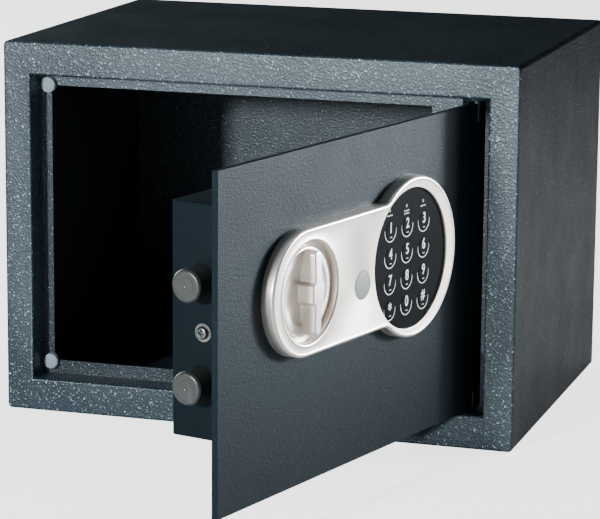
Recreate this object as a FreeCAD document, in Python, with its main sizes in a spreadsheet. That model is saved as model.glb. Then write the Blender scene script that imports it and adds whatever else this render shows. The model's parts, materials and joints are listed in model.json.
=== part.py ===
import FreeCAD, Part
import Sketcher
import math
import os
import re

# Small electronic safe, millimetres. The origin is the centre of the cabinet's base,
# +X to the hinge side, +Y to the back, +Z up. The front of the frame is at y = -cab_depth / 2.
# Door pieces are drawn with the door shut, then turned open together about the hinge axis.
# A cutting tool starts 1 mm before the face that it enters and ends 1 mm past the one it leaves.

Vector = FreeCAD.Vector
X_AXIS = Vector(1, 0, 0)
Y_AXIS = Vector(0, 1, 0)
Z_AXIS = Vector(0, 0, 1)

DIMENSIONS = dict(
    # cabinet
    cab_width=350, cab_height=250, cab_depth=250, wall=2, corner_r=3, face_r=1.6,
    lip_left=19, lip_right=20, lip_top=22, lip_bottom=22, return_depth=21.1, return_wall=2,
    strip_side=7.5, strip_flat=9, strip_thick=1.5, strip_end=128, top_strip_end=113,
    stop_plate_end=133, stop_plate_drop=15, bumper_r=5.25, bumper_thick=4.8, bumper_inset=8.5,
    bumper_side=6, bumper_edge_r=0.9, anchor_r=5, anchor_span=200, anchor_height=100,
    # door leaf and hinge
    open_angle=75.3, leaf_half=153, leaf_low=25, leaf_high=224, leaf_setback=10, leaf_thick=4,
    pin_x=144.8, pin_depth=11.6, pin_r=3, pin_gap=0.08, pin_out=6.5, pin_in=12, pin_edge=0.5,
    washer_r=10, washer_thick=1.5, lug_half=6, lug_depth=8, lug_height=18,
    # escutcheon, knob and keypad
    panel_thick=8, panel_z=141.5, knob_x=-68.5, knob_lobe_x=-71, knob_lobe_r=38,
    pad_lobe_x=52.5, pad_lobe_r=50, pad_x=47.5, pad_r=43.4, pad_ledge=0.85, pad_sink=1.8,
    panel_screw_x=-25, panel_screw_z=28, panel_screw_depth=5, panel_screw_inset=10.2,
    pad_thick=1.3, panel_edge_r=2.6, rim_edge_r=1.4, waist_r=6,
    well_r=30, well_depth=6, dial_r=26.5, dial_front=2.4, dial_gap=0.4, dial_edge_r=1.2,
    grip_width=8.5, grip_length=49, grip_rise=8, grip_edge_r=1.6,
    key_x=44.5, key_z=162, key_pitch_x=20, key_pitch_z=16.2, key_r=5.6, key_gap=0.2,
    key_proud=0.3, key_flange=0.6, key_flange_thick=0.9,
    board_thick=1.2, board_back=1.4, board_gap=0.2, light_r=1, light_x=23.5, light_z=174.5,
    cap_x=-10, cap_z=135, cap_r=8.6, cap_thick=2.5, cap_gap=0.1, cap_proud=0.2, cap_edge_r=0.7,
    # lock mechanism, behind the leaf
    cover_left=-129.5, cover_right=96.5, cover_low=62.5, cover_high=200, cover_depth=43,
    cover_wall=1.5, cover_edge_r=1.5, post_r=4, post_inset_x=12, post_inset_z=9.5,
    bolt_r=9.8, bolt_tip=-146, bolt_root=-94, bolt_depth=22.5, bolt_z_mid=125.4, bolt_span=59.1,
    bolt_chamfer=1.5, bolt_slack=0.25, bolt_travel=16, bolt_tap=12,
    chassis_right=-30, chassis_low=78, chassis_high=168, chassis_thick=2, guide_thick=2.4,
    plate_depth=10, plate_thick=2, plate_right=-33, plate_low=100, plate_high=165,
    flange_low=84, flange_high=167, flange_depth=33,
    spindle_r=5, spindle_slack=0.5, crank_r=17, crank_front=4, crank_thick=3, crank_throw=11.314,
    crank_pin_r=3, slot_slack=0.5, guide_z=110, guide_left=-84, guide_right=-56, guide_r=2.5, guide_slack=0.2,
    guide_sleeve_r=4, guide_head_r=4.5, guide_lift=0.1,
    plunger_x=-70, plunger_r=3, plunger_length=24, plunger_travel=5, plunger_clear=0.8,
    notch_slack=0.6, coil_bore=21,
    coil_half=11, coil_low=171, coil_high=196, coil_front=3, coil_depth=16, coil_gap=0.1,
    barrel_r=7.5, barrel_front=4.5, keyslot_half=0.8, keyslot_depth=12, keyslot_reach=3.5,
    barrel_back=22, core_r=5, core_gap=0.05, core_stub=3,
    cam_length=18, cam_width=9, cam_thick=2, nut_r=11, nut_thick=4,
    cell_r=7.1, cell_length=50, cell_tip=1, cell_tip_r=2.6, cell_room=4, cell_pitch=14.6,
    tray_left=28, tray_low=82, tray_wall=1.5,
    tray_front=24, lid_thick=2, lid_lap=4,
    circuit_left=4, circuit_right=78, circuit_low=148, circuit_high=190, circuit_depth=32,
    circuit_thick=1.6, buzzer_r=6, buzzer_height=7, buzzer_inset=12, ribbon_x=40,
    ribbon_z=172, ribbon_width=16, ribbon_thick=1.2,
    reset_x=66, reset_z=165, reset_r=3, reset_slack=0.3, reset_rest=0.4, reset_proud=1.8,
    reset_travel=1.5, post_tap=12,
    screw_r=2, screw_head_r=4, screw_head=2.4, head_edge_r=0.9, side_head_edge_r=1.3,
    side_screw_z=125.5, side_screw_depth=21,
    side_head_r=3.8, side_washer_r=5.4, side_washer_thick=1,
)

FRONT = "(-cab_depth/2)"
LEAF = "(-cab_depth/2 + leaf_setback)"
REAR = "(-cab_depth/2 + leaf_setback + leaf_thick)"
COVER_BACK = f"({REAR} + cover_depth)"
OPEN_LEFT = "(-cab_width/2 + lip_left)"
OPEN_RIGHT = "(cab_width/2 - lip_right)"
OPEN_TOP = "(cab_height - lip_top)"
PIN_Y = f"({FRONT} + pin_depth)"

doc = FreeCAD.newDocument("room_safe")
sheet = doc.addObject("Spreadsheet::Sheet", "dims")
for row, (alias, number) in enumerate(DIMENSIONS.items(), start=1):
    sheet.set(f"A{row}", alias)
    sheet.set(f"B{row}", str(number))
    sheet.setAlias(f"B{row}", alias)
doc.recompute()

nodes = []


def value(text):
    """Number that an expression in the sheet's words comes to."""
    return float(eval_words(text))


def eval_words(text):
    """Let the document work out an expression in the sheet's words."""
    return sheet.evalExpression(words(text))


def words(text):
    """The same expression with each of the sheet's words given its sheet name."""
    return re.sub(r"[a-z][a-z0-9_]*", lambda word: "dims." + word.group(0), str(text))


def bind(item, **sizes):
    """Bind properties of an object to expressions; a name's __ stands for a dot."""
    for name, text in sizes.items():
        item.setExpression(name.replace("__", "."), words(text))
    return item


def block(x0, x1, y0, y1, z0, z1, name="block"):
    """Box between two corners, each bound to the sheet."""
    item = doc.addObject("Part::Box", name)
    bind(item, Length=f"({x1}) - ({x0})", Width=f"({y1}) - ({y0})", Height=f"({z1}) - ({z0})")
    return bind(item, Placement__Base__x=x0, Placement__Base__y=y0, Placement__Base__z=z0)


def rod(axis, radius, x, y, z, length, name="rod"):
    """Cylinder that starts at a point and runs along +X, +Y or +Z."""
    item = doc.addObject("Part::Cylinder", name)
    bind(item, Radius=radius, Height=length)
    item.Placement = FreeCAD.Placement(Vector(), FreeCAD.Rotation(Z_AXIS, axis))
    return bind(item, Placement__Base__x=x, Placement__Base__y=y, Placement__Base__z=z)


def fuse(*items):
    """Join pieces into one solid."""
    joined = doc.addObject("Part::MultiFuse", "fuse")
    joined.Shapes = list(items)
    joined.Refine = True
    return joined


def cut(base, *tools):
    """Take one or more tools from a base."""
    result = doc.addObject("Part::Cut", "cut")
    result.Base = base
    result.Tool = tools[0] if len(tools) == 1 else fuse(*tools)
    result.Refine = True
    return result


def soften(kind, base, size, picks):
    """Fillet or chamfer the edges of a base that picks says yes to."""
    doc.recompute()
    length = value(size)
    chosen = [(number, length, length) for number, edge in enumerate(base.Shape.Edges, start=1)
              if picks(edge)]
    if not chosen:
        raise RuntimeError(f"no edge found on {base.Label}")
    result = doc.addObject(f"Part::{kind}", kind.lower())
    result.Base = base
    result.Edges = chosen
    return result


def span(edge):
    """An edge's bounding box."""
    return edge.BoundBox


def node(label, *items, door=True):
    """Finish a sub-part: one solid, or a group of equal ones, under its own label."""
    piece = doc.addObject("Part::Compound", label)
    piece.Links = list(items)
    piece.Label = label
    if door:
        piece.Placement = door_swing()
    nodes.append(piece)
    return piece


def door_swing():
    """Placement that turns a piece drawn on the shut door to where the open door stands."""
    hinge = Vector(value("pin_x"), value(PIN_Y), 0)
    return FreeCAD.Placement(Vector(), FreeCAD.Rotation(Z_AXIS, value("open_angle")), hinge)


def leaf_sketch(body, name, depth):
    """Sketch parallel to the leaf, on its body's XZ plane, at a depth behind the frame's front."""
    plane = [item for item in body.Origin.OriginFeatures if item.Role == "XZ_Plane"][0]
    sketch = body.newObject("Sketcher::SketchObject", name)
    sketch.AttachmentSupport = [(plane, "")]
    sketch.MapMode = "FlatFace"
    sketch.setExpression("AttachmentOffset.Base.z", words(f"-({depth})"))
    return sketch


def dimension(sketch, kind, elements, text):
    """Dimension in a sketch, bound to the sheet."""
    number = sketch.addConstraint(Sketcher.Constraint(kind, *elements, value(text)))
    sketch.setExpression(f"Constraints[{number}]", words(text))


def rectangle(sketch, left, right, low, high):
    """Closed rectangle in a sketch, its four sides dimensioned from the origin."""
    corners = [(left, low), (right, low), (right, high), (left, high)]
    points = [Vector(value(x), value(z), 0) for x, z in corners]
    sides = [sketch.addGeometry(Part.LineSegment(start, end))
             for start, end in zip(points, points[1:] + points[:1])]
    for index, side in enumerate(sides):
        follower = sides[(index + 1) % 4]
        sketch.addConstraint(Sketcher.Constraint("Coincident", side, 2, follower, 1))
        sketch.addConstraint(Sketcher.Constraint("Vertical" if index % 2 else "Horizontal", side))
    for side, x, z in ((sides[0], left, low), (sides[2], right, high)):
        dimension(sketch, "DistanceX", (-1, 1, side, 1), x)
        dimension(sketch, "DistanceY", (-1, 1, side, 1), z)


def circle(sketch, x, z, radius):
    """Circle in a sketch, its centre and radius bound to the sheet."""
    centre = Vector(value(x), value(z), 0)
    geometry = sketch.addGeometry(Part.Circle(centre, Vector(0, 0, 1), value(radius)))
    dimension(sketch, "DistanceX", (-1, 1, geometry, 3), x)
    dimension(sketch, "DistanceY", (-1, 1, geometry, 3), z)
    dimension(sketch, "Radius", (geometry,), radius)


# Cabinet ---------------------------------------------------------------------------------


def cabinet():
    """Folded wrap, back sheet, face frame with its return, stop strips and buffers."""
    half = "cab_width/2"
    outer = block(f"-{half}", half, f"{FRONT} + wall", "cab_depth/2", "0", "cab_height")
    outer = soften("Fillet", outer, "corner_r", lambda edge: span(edge).YLength > 100)
    hollow = block(f"-{half} + wall", f"{half} - wall", f"{FRONT} - 1", "cab_depth/2 + 1",
                   "wall", "cab_height - wall")
    floor_holes = [rod(Z_AXIS, "anchor_r", f"{side}anchor_span/2", "0", "-1", "wall + 2")
                   for side in ("-", "")]
    node("cabinet_shell", cut(outer, hollow, *floor_holes), door=False)

    sheet_back = block(f"-{half} + wall", f"{half} - wall", "cab_depth/2 - wall", "cab_depth/2",
                       "wall", "cab_height - wall")
    wall_holes = [rod(Y_AXIS, "anchor_r", f"{side}anchor_span/2", "cab_depth/2 - wall - 1",
                      "anchor_height", "wall + 2") for side in ("-", "")]
    node("back_panel", cut(sheet_back, *wall_holes), door=False)

    face = block(f"-{half}", half, FRONT, f"{FRONT} + wall", "0", "cab_height")
    face = soften("Fillet", face, "corner_r", lambda edge: abs(span(edge).YLength - 2) < 0.01)
    flange = block(f"{OPEN_LEFT} - return_wall", f"{OPEN_RIGHT} + return_wall", f"{FRONT} + 1",
                   f"{FRONT} + return_depth", "lip_bottom - return_wall",
                   f"{OPEN_TOP} + return_wall")
    doorway = block(OPEN_LEFT, OPEN_RIGHT, f"{FRONT} - 1", f"{FRONT} + return_depth + 1",
                    "lip_bottom", OPEN_TOP)
    pin_holes = rod(Z_AXIS, "pin_r + pin_gap", "pin_x", PIN_Y, "lip_bottom - return_wall - 1",
                    "cab_height")
    frame = cut(fuse(face, flange), doorway, pin_holes)
    front_y = value(FRONT)
    frame = soften("Fillet", frame, "face_r",
                   lambda edge: abs(span(edge).YMax - front_y) < 0.01 and span(edge).YLength < 0.01)
    node("front_frame", frame, door=False)

    rear = f"{FRONT} + return_depth"
    face_y = f"{rear} - strip_thick"
    node("stop_strip_left", block(OPEN_LEFT, f"{OPEN_LEFT} + strip_side", face_y, rear,
                                  "lip_bottom", OPEN_TOP), door=False)
    node("stop_strip_top", block(f"{OPEN_LEFT} + strip_side", "top_strip_end", face_y, rear,
                                 f"{OPEN_TOP} - strip_flat", OPEN_TOP), door=False)
    node("stop_strip_bottom", block(f"{OPEN_LEFT} + strip_side", "strip_end", face_y, rear,
                                    "lip_bottom", "lip_bottom + strip_flat"), door=False)
    node("hinge_stop_plate", block("top_strip_end", "stop_plate_end", face_y, rear,
                                   f"{OPEN_TOP} - stop_plate_drop", OPEN_TOP), door=False)

    buffers = []
    for height in ("lip_bottom + bumper_inset", f"{OPEN_TOP} - bumper_inset"):
        buffer = rod(Y_AXIS, "bumper_r", f"{OPEN_LEFT} + bumper_side",
                     f"{face_y} - bumper_thick", height, "bumper_thick")
        tip_y = value(f"{face_y} - bumper_thick")
        buffers.append(soften("Fillet", buffer, "bumper_edge_r",
                              lambda edge: abs(span(edge).YMax - tip_y) < 0.01))
    node("corner_bumpers", *buffers, door=False)

    washers = []
    for height in ("lip_bottom", f"{OPEN_TOP} - washer_thick"):
        disc = rod(Z_AXIS, "washer_r", "pin_x", PIN_Y, height, "washer_thick")
        hole = rod(Z_AXIS, "pin_r + pin_gap", "pin_x", PIN_Y, f"{height} - 1", "washer_thick + 2")
        washers.append(cut(disc, hole))
    node("hinge_washers", *washers, door=False)


# Door leaf, hinge and front panel ---------------------------------------------------------

PAD_DIAGONAL = "(pad_r - panel_screw_inset)"
PANEL_SCREWS = [("panel_screw_x", "panel_z + panel_screw_z"),
                ("panel_screw_x", "panel_z - panel_screw_z"),
                (f"pad_x + {PAD_DIAGONAL}", f"panel_z + {PAD_DIAGONAL}"),
                (f"pad_x + {PAD_DIAGONAL}", f"panel_z - {PAD_DIAGONAL}")]


def door_leaf():
    """Steel plate with holes for the spindle, the emergency lock, the lead and the screws."""
    body = doc.addObject("PartDesign::Body", "door_leaf")
    body.Label = "door_leaf"
    outline = leaf_sketch(body, "leaf_outline", LEAF)
    rectangle(outline, "-leaf_half", "leaf_half", "leaf_low", "leaf_high")
    pad = body.newObject("PartDesign::Pad", "leaf_plate")
    pad.Profile = outline
    bind(pad, Length="leaf_thick")
    pad.Reversed = True
    doc.recompute()
    full = body.Shape.Volume
    holes = leaf_sketch(body, "leaf_holes", LEAF)
    circle(holes, "knob_x", "panel_z", "spindle_r + spindle_slack")
    circle(holes, "cap_x", "cap_z", "barrel_r")
    for x, z in PANEL_SCREWS:
        circle(holes, x, z, "screw_r")
    rectangle(holes, "ribbon_x - ribbon_width/2 - 1", "ribbon_x + ribbon_width/2 + 1",
              "ribbon_z - 2", "ribbon_z + 2")
    pocket = body.newObject("PartDesign::Pocket", "leaf_pocket")
    pocket.Profile = holes
    pocket.Type = "ThroughAll"
    pocket.SideType = "Symmetric"
    corners = leaf_sketch(body, "lug_corners", LEAF)
    for low, high in (("leaf_low", "leaf_low + lug_height"),
                      ("leaf_high - lug_height", "leaf_high")):
        rectangle(corners, "pin_x - lug_half", "pin_x + lug_half", low, high)
    notch = body.newObject("PartDesign::Pocket", "lug_notches")
    notch.Profile = corners
    notch.Type = "ThroughAll"
    notch.SideType = "Symmetric"
    doc.recompute()
    if body.Shape.Volume >= full:
        raise RuntimeError("the leaf's holes cut nothing")
    body.Placement = door_swing()
    nodes.append(body)


def hinge():
    """Lugs welded into the leaf's hinge corners, each with a pin that turns in the frame."""
    lugs = []
    pins = []
    ends = (("leaf_low", "leaf_low - pin_out", "leaf_low"),
            ("leaf_high - lug_height", "leaf_high - pin_in", "leaf_high - pin_in"))
    for low, pin_low, hole_low in ends:
        lug = block("pin_x - lug_half", "pin_x + lug_half", LEAF, f"{LEAF} + lug_depth",
                    low, f"{low} + lug_height")
        hole = rod(Z_AXIS, "pin_r", "pin_x", PIN_Y, hole_low, "pin_in")
        lugs.append(cut(lug, hole))
        pin = rod(Z_AXIS, "pin_r", "pin_x", PIN_Y, pin_low, "pin_out + pin_in")
        pins.append(soften("Chamfer", pin, "pin_edge", lambda edge: edge.Closed))
    node("hinge_lugs", *lugs)
    node("hinge_pins", *pins)


def panel():
    """Two-lobed front panel with a knob well, a keypad recess and a keyhole."""
    front = f"({LEAF} - panel_thick)"
    small = rod(Y_AXIS, "knob_lobe_r", "knob_lobe_x", front, "panel_z", "panel_thick")
    large = rod(Y_AXIS, "pad_lobe_r", "pad_lobe_x", front, "panel_z", "panel_thick")
    band = block("knob_lobe_x", "pad_lobe_x", front, LEAF, "panel_z - knob_lobe_r",
                 "panel_z + knob_lobe_r")
    shape = fuse(small, large, band)
    waist_x = value("pad_lobe_x") - math.sqrt(value("pad_lobe_r^2 - knob_lobe_r^2"))
    shape = soften("Fillet", shape, "waist_r",
                   lambda edge: abs(span(edge).YLength - value("panel_thick")) < 0.01
                   and abs(span(edge).Center.x - waist_x) < 0.1)
    front_y = value(front)
    shape = soften("Fillet", shape, "panel_edge_r", lambda edge: abs(span(edge).YMax - front_y) < 0.01)
    well = rod(Y_AXIS, "well_r", "knob_x", f"{front} - 1", "panel_z", "well_depth + 1")
    bore = rod(Y_AXIS, "spindle_r + spindle_slack", "knob_x", f"{front}", "panel_z", "panel_thick + 1")
    sink = rod(Y_AXIS, "pad_r", "pad_x", f"{front} - 1", "panel_z", "pad_sink + pad_thick + 1")
    cavity = rod(Y_AXIS, "pad_r - pad_ledge", "pad_x", front, "panel_z", "panel_thick + 1")
    keyhole = rod(Y_AXIS, "cap_r + cap_gap", "cap_x", f"{front} - 1", "cap_z", "panel_thick + 2")
    shape = cut(shape, well, bore, sink, cavity, keyhole)
    shape = soften("Fillet", shape, "rim_edge_r", lambda edge: edge.Closed
                   and abs(span(edge).YMax - front_y) < 0.01
                   and abs(span(edge).XLength - value("2*well_r")) < 0.01)
    taps = [rod(Y_AXIS, "screw_r", x, f"{LEAF} - panel_screw_depth", z, "panel_screw_depth + 1")
            for x, z in PANEL_SCREWS]
    node("escutcheon", cut(shape, *taps))

    screws = []
    for x, z in PANEL_SCREWS:
        shank = rod(Y_AXIS, "screw_r", x, f"{LEAF} - panel_screw_depth", z,
                    "leaf_thick + panel_screw_depth")
        head = rod(Y_AXIS, "screw_head_r", x, REAR, z, "screw_head")
        screws.append(fuse(shank, head))
    node("escutcheon_screws", *screws)


KEYS = ["1", "2", "3", "4", "5", "6", "7", "8", "9", "star", "0", "hash"]


def key_place(index):
    """Centre of a key, as expressions for x and z."""
    column, row = index % 3 - 1, index // 3
    return f"(key_x + {column}*key_pitch_x)", f"(key_z - {row}*key_pitch_z)"


def keypad():
    """Black key plate, twelve sprung keys, three lights and the circuit board behind them."""
    front = f"({LEAF} - panel_thick)"
    plate_front = f"({front} + pad_sink)"
    board_front = f"({LEAF} - board_back - board_thick)"
    lights = [(f"light_x + {column}*key_pitch_x", "light_z") for column in range(3)]
    plate = rod(Y_AXIS, "pad_r", "pad_x", plate_front, "panel_z", "pad_thick")
    holes = []
    for index in range(len(KEYS)):
        x, z = key_place(index)
        holes.append(rod(Y_AXIS, "key_r + key_gap", x, f"{front}", z, "panel_thick"))
    for x, z in lights:
        holes.append(rod(Y_AXIS, "light_r", x, f"{front}", z, "panel_thick"))
    node("keypad_plate", cut(plate, *holes))
    for index, name in enumerate(KEYS):
        x, z = key_place(index)
        cap = rod(Y_AXIS, "key_r", x, f"{plate_front} - key_proud", z,
                  "key_proud + pad_thick + key_flange_thick")
        tip_y = value(f"{plate_front} - key_proud")
        cap = soften("Fillet", cap, "key_proud", lambda edge: abs(span(edge).YMax - tip_y) < 0.01)
        collar = rod(Y_AXIS, "key_r + key_flange", x, f"{plate_front} + pad_thick + 0.05", z,
                     "key_flange_thick - 0.05")
        node(f"key_{name}", fuse(cap, collar))
    node("status_lights", *[rod(Y_AXIS, "light_r", x, plate_front, z,
                                f"({board_front}) - {plate_front}") for x, z in lights])
    board = rod(Y_AXIS, "pad_r - pad_ledge - board_gap", "pad_x", board_front, "panel_z", "board_thick")
    node("keypad_board", board)
    node("ribbon_cable", block("ribbon_x - ribbon_width/2", "ribbon_x + ribbon_width/2",
                               f"{LEAF} - board_back", f"{REAR} + circuit_depth",
                               "ribbon_z - ribbon_thick/2", "ribbon_z + ribbon_thick/2"))


def knob():
    """Round dial with a grip bar, on the spindle that carries the crank disc and its pin."""
    front = f"({LEAF} - panel_thick)"
    dial_y = f"({front} + dial_front)"
    dial = rod(Y_AXIS, "dial_r", "knob_x", dial_y, "panel_z", "well_depth - dial_front - dial_gap")
    tip_y = value(dial_y)
    dial = soften("Fillet", dial, "dial_edge_r", lambda edge: abs(span(edge).YMax - tip_y) < 0.01)
    grip = block("knob_x - grip_width/2", "knob_x + grip_width/2", f"{dial_y} - grip_rise",
                 f"{dial_y} + 1", "panel_z - grip_length/2", "panel_z + grip_length/2")
    grip_y = value(f"{dial_y} - grip_rise")
    grip = soften("Fillet", grip, "grip_edge_r", lambda edge: abs(span(edge).YMin - grip_y) < 0.01)
    socket = rod(Y_AXIS, "spindle_r", "knob_x", f"{dial_y} + 1", "panel_z", "well_depth")
    node("knob", cut(fuse(dial, grip), socket))
    shaft = rod(Y_AXIS, "spindle_r", "knob_x", f"{dial_y} + 1", "panel_z",
                f"{REAR} + crank_front - {dial_y} - 1")
    node("spindle", shaft)
    crank = rod(Y_AXIS, "crank_r", "knob_x", f"{REAR} + crank_front", "panel_z", "crank_thick")
    node("crank_disc", crank)
    throw = "bolt_travel/2"
    node("crank_pin", rod(Y_AXIS, "crank_pin_r", f"knob_x + {throw}",
                          f"{REAR} + crank_front + crank_thick", f"panel_z + {throw}",
                          "plate_depth + plate_thick + 1.5 - crank_front - crank_thick"))


def keyhole():
    """Grey cap in front of the emergency lock; the barrel, its nut, core and cam."""
    front = f"({LEAF} - panel_thick)"
    cap = rod(Y_AXIS, "cap_r", "cap_x", f"{front} - cap_proud", "cap_z", "cap_thick")
    tip_y = value(f"{front} - cap_proud")
    cap = soften("Fillet", cap, "cap_edge_r", lambda edge: abs(span(edge).YMax - tip_y) < 0.01)
    node("keyhole_cap", cap)
    start = f"({LEAF} - barrel_front)"
    barrel = rod(Y_AXIS, "barrel_r", "cap_x", start, "cap_z", f"{REAR} + barrel_back - {start}")
    bore = rod(Y_AXIS, "core_r + core_gap", "cap_x", f"{start} - 1", "cap_z",
               f"{REAR} + barrel_back - {start} + 2")
    node("lock_barrel", cut(barrel, bore))
    ring = rod(Y_AXIS, "nut_r", "cap_x", REAR, "cap_z", "nut_thick")
    thread = rod(Y_AXIS, "barrel_r", "cap_x", f"{REAR} - 1", "cap_z", "nut_thick + 2")
    node("barrel_nut", cut(ring, thread))
    core = rod(Y_AXIS, "core_r", "cap_x", start, "cap_z",
               f"{REAR} + barrel_back + core_stub - {start}")
    slot = block("cap_x - keyslot_half", "cap_x + keyslot_half", f"{start} - 1",
                 f"{start} + keyslot_depth", "cap_z - keyslot_reach", "cap_z + keyslot_reach")
    node("lock_core", cut(core, slot))
    cam_y = f"({REAR} + barrel_back + core_stub)"
    node("lock_cam", block("cap_x - cam_width/2", "cap_x + cam_width/2", cam_y,
                           f"{cam_y} + cam_thick", "cap_z - cam_width/2",
                           "cap_z - cam_width/2 + cam_length"))


# Lock on the back of the leaf --------------------------------------------------------------


def bolt_heights():
    """Heights of the two bolts' axes."""
    return "(bolt_z_mid - bolt_span/2)", "(bolt_z_mid + bolt_span/2)"


def bolts():
    """Carriage plate with its flange, the two bolts and the screws that hold them."""
    plate_y = f"({REAR} + plate_depth)"
    plate = block("bolt_root", "plate_right", plate_y, f"{plate_y} + plate_thick", "plate_low",
                  "plate_high")
    flange = block("bolt_root", "bolt_root + plate_thick", plate_y, f"{REAR} + flange_depth",
                   "flange_low", "flange_high")
    tools = [slot_block("knob_x + bolt_travel/2", "crank_pin_r + slot_slack",
                        "panel_z + bolt_travel/2 - crank_pin_r - slot_slack",
                        "panel_z + crank_throw + crank_pin_r + slot_slack")]
    for start in ("guide_left", "guide_right"):
        reach = "(guide_r + guide_slack)"
        tools.append(block(f"{start} - {reach}", f"{start} + bolt_travel + {reach}", REAR,
                           COVER_BACK, f"guide_z - {reach}", f"guide_z + {reach}"))
    for shift in ("0", "bolt_travel"):
        tools.append(slot_block(f"plunger_x + {shift}", "plunger_r + notch_slack",
                                "plate_high - plunger_travel - plunger_clear", "plate_high + 1"))
    for z in bolt_heights():
        tools.append(rod(X_AXIS, "screw_r", "bolt_root - 1", f"{REAR} + bolt_depth", z, "4"))
    node("bolt_carriage", cut(fuse(plate, flange), *tools))

    bars = []
    screws = []
    for z in bolt_heights():
        bar = rod(X_AXIS, "bolt_r", "bolt_tip", f"{REAR} + bolt_depth", z, "bolt_root - bolt_tip")
        bar = soften("Chamfer", bar, "bolt_chamfer",
                     lambda edge: abs(span(edge).XMax - value("bolt_tip")) < 0.01)
        hole = rod(X_AXIS, "screw_r", "bolt_root - bolt_tap", f"{REAR} + bolt_depth", z,
                   "bolt_tap + 1")
        bars.append(cut(bar, hole))
        shank = rod(X_AXIS, "screw_r", "bolt_root - bolt_tap", f"{REAR} + bolt_depth", z,
                    "bolt_tap + plate_thick")
        head = rod(X_AXIS, "screw_head_r", "bolt_root + plate_thick", f"{REAR} + bolt_depth", z,
                   "screw_head")
        screws.append(fuse(shank, head))
    node("locking_bolts", *bars)
    node("bolt_screws", *screws)


def slot_block(x, half, low, high):
    """Tool that cuts a slot through the carriage plate, from the leaf to the cover."""
    return block(f"{x} - ({half})", f"{x} + {half}", REAR, COVER_BACK, low, high)


def chassis():
    """Base plate on the leaf with the upstand that guides the bolts, and two guide screws."""
    left = "(cover_left + cover_wall)"
    base = block(left, "chassis_right", REAR, f"{REAR} + chassis_thick", "chassis_low",
                 "chassis_high")
    wall = block(left, f"{left} + guide_thick", REAR, f"{REAR} + flange_depth + 4",
                 "chassis_low", "chassis_high")
    tools = [rod(X_AXIS, "bolt_r + bolt_slack", f"{left} - 1", f"{REAR} + bolt_depth", z,
                 "guide_thick + 2") for z in bolt_heights()]
    tools.append(rod(Y_AXIS, "spindle_r + spindle_slack", "knob_x", f"{REAR} - 1", "panel_z",
                     "chassis_thick + 2"))
    tools.append(rod(X_AXIS, "screw_r", f"{left} - 1", f"{REAR} + side_screw_depth",
                     "side_screw_z", "guide_thick + 2"))
    node("lock_chassis", cut(fuse(base, wall), *tools))
    screws = []
    for x in ("guide_left", "guide_right"):
        sleeve = rod(Y_AXIS, "guide_sleeve_r", x, f"{REAR} + chassis_thick", "guide_z",
                     "plate_depth - chassis_thick - guide_lift")
        shank = rod(Y_AXIS, "guide_r", x, f"{REAR} + chassis_thick", "guide_z",
                    "plate_depth + plate_thick + guide_lift - chassis_thick")
        head = rod(Y_AXIS, "guide_head_r", x, f"{REAR} + plate_depth + plate_thick + guide_lift",
                   "guide_z", "screw_head")
        screws.append(fuse(sleeve, shank, head))
    node("guide_screws", *screws)


def solenoid():
    """Coil block above the carriage, and the plunger that drops into the carriage's notches."""
    coil = block("plunger_x - coil_half", "plunger_x + coil_half", f"{REAR} + coil_front",
                 f"{REAR} + coil_front + coil_depth", "coil_low", "coil_high")
    plunger_y = f"({REAR} + plate_depth + plate_thick/2)"
    bore = rod(Z_AXIS, "plunger_r + coil_gap", "plunger_x", plunger_y, "coil_low - 1",
               "coil_bore + 1")
    foot = block("plunger_x - coil_half", "plunger_x + coil_half", REAR, f"{REAR} + coil_front",
                 "coil_low + 2", "coil_high")
    node("solenoid", cut(fuse(coil, foot), bore))
    tip = "(plate_high + plunger_clear)"
    node("solenoid_plunger", rod(Z_AXIS, "plunger_r", "plunger_x", plunger_y, tip,
                                 "plunger_length"))


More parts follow.
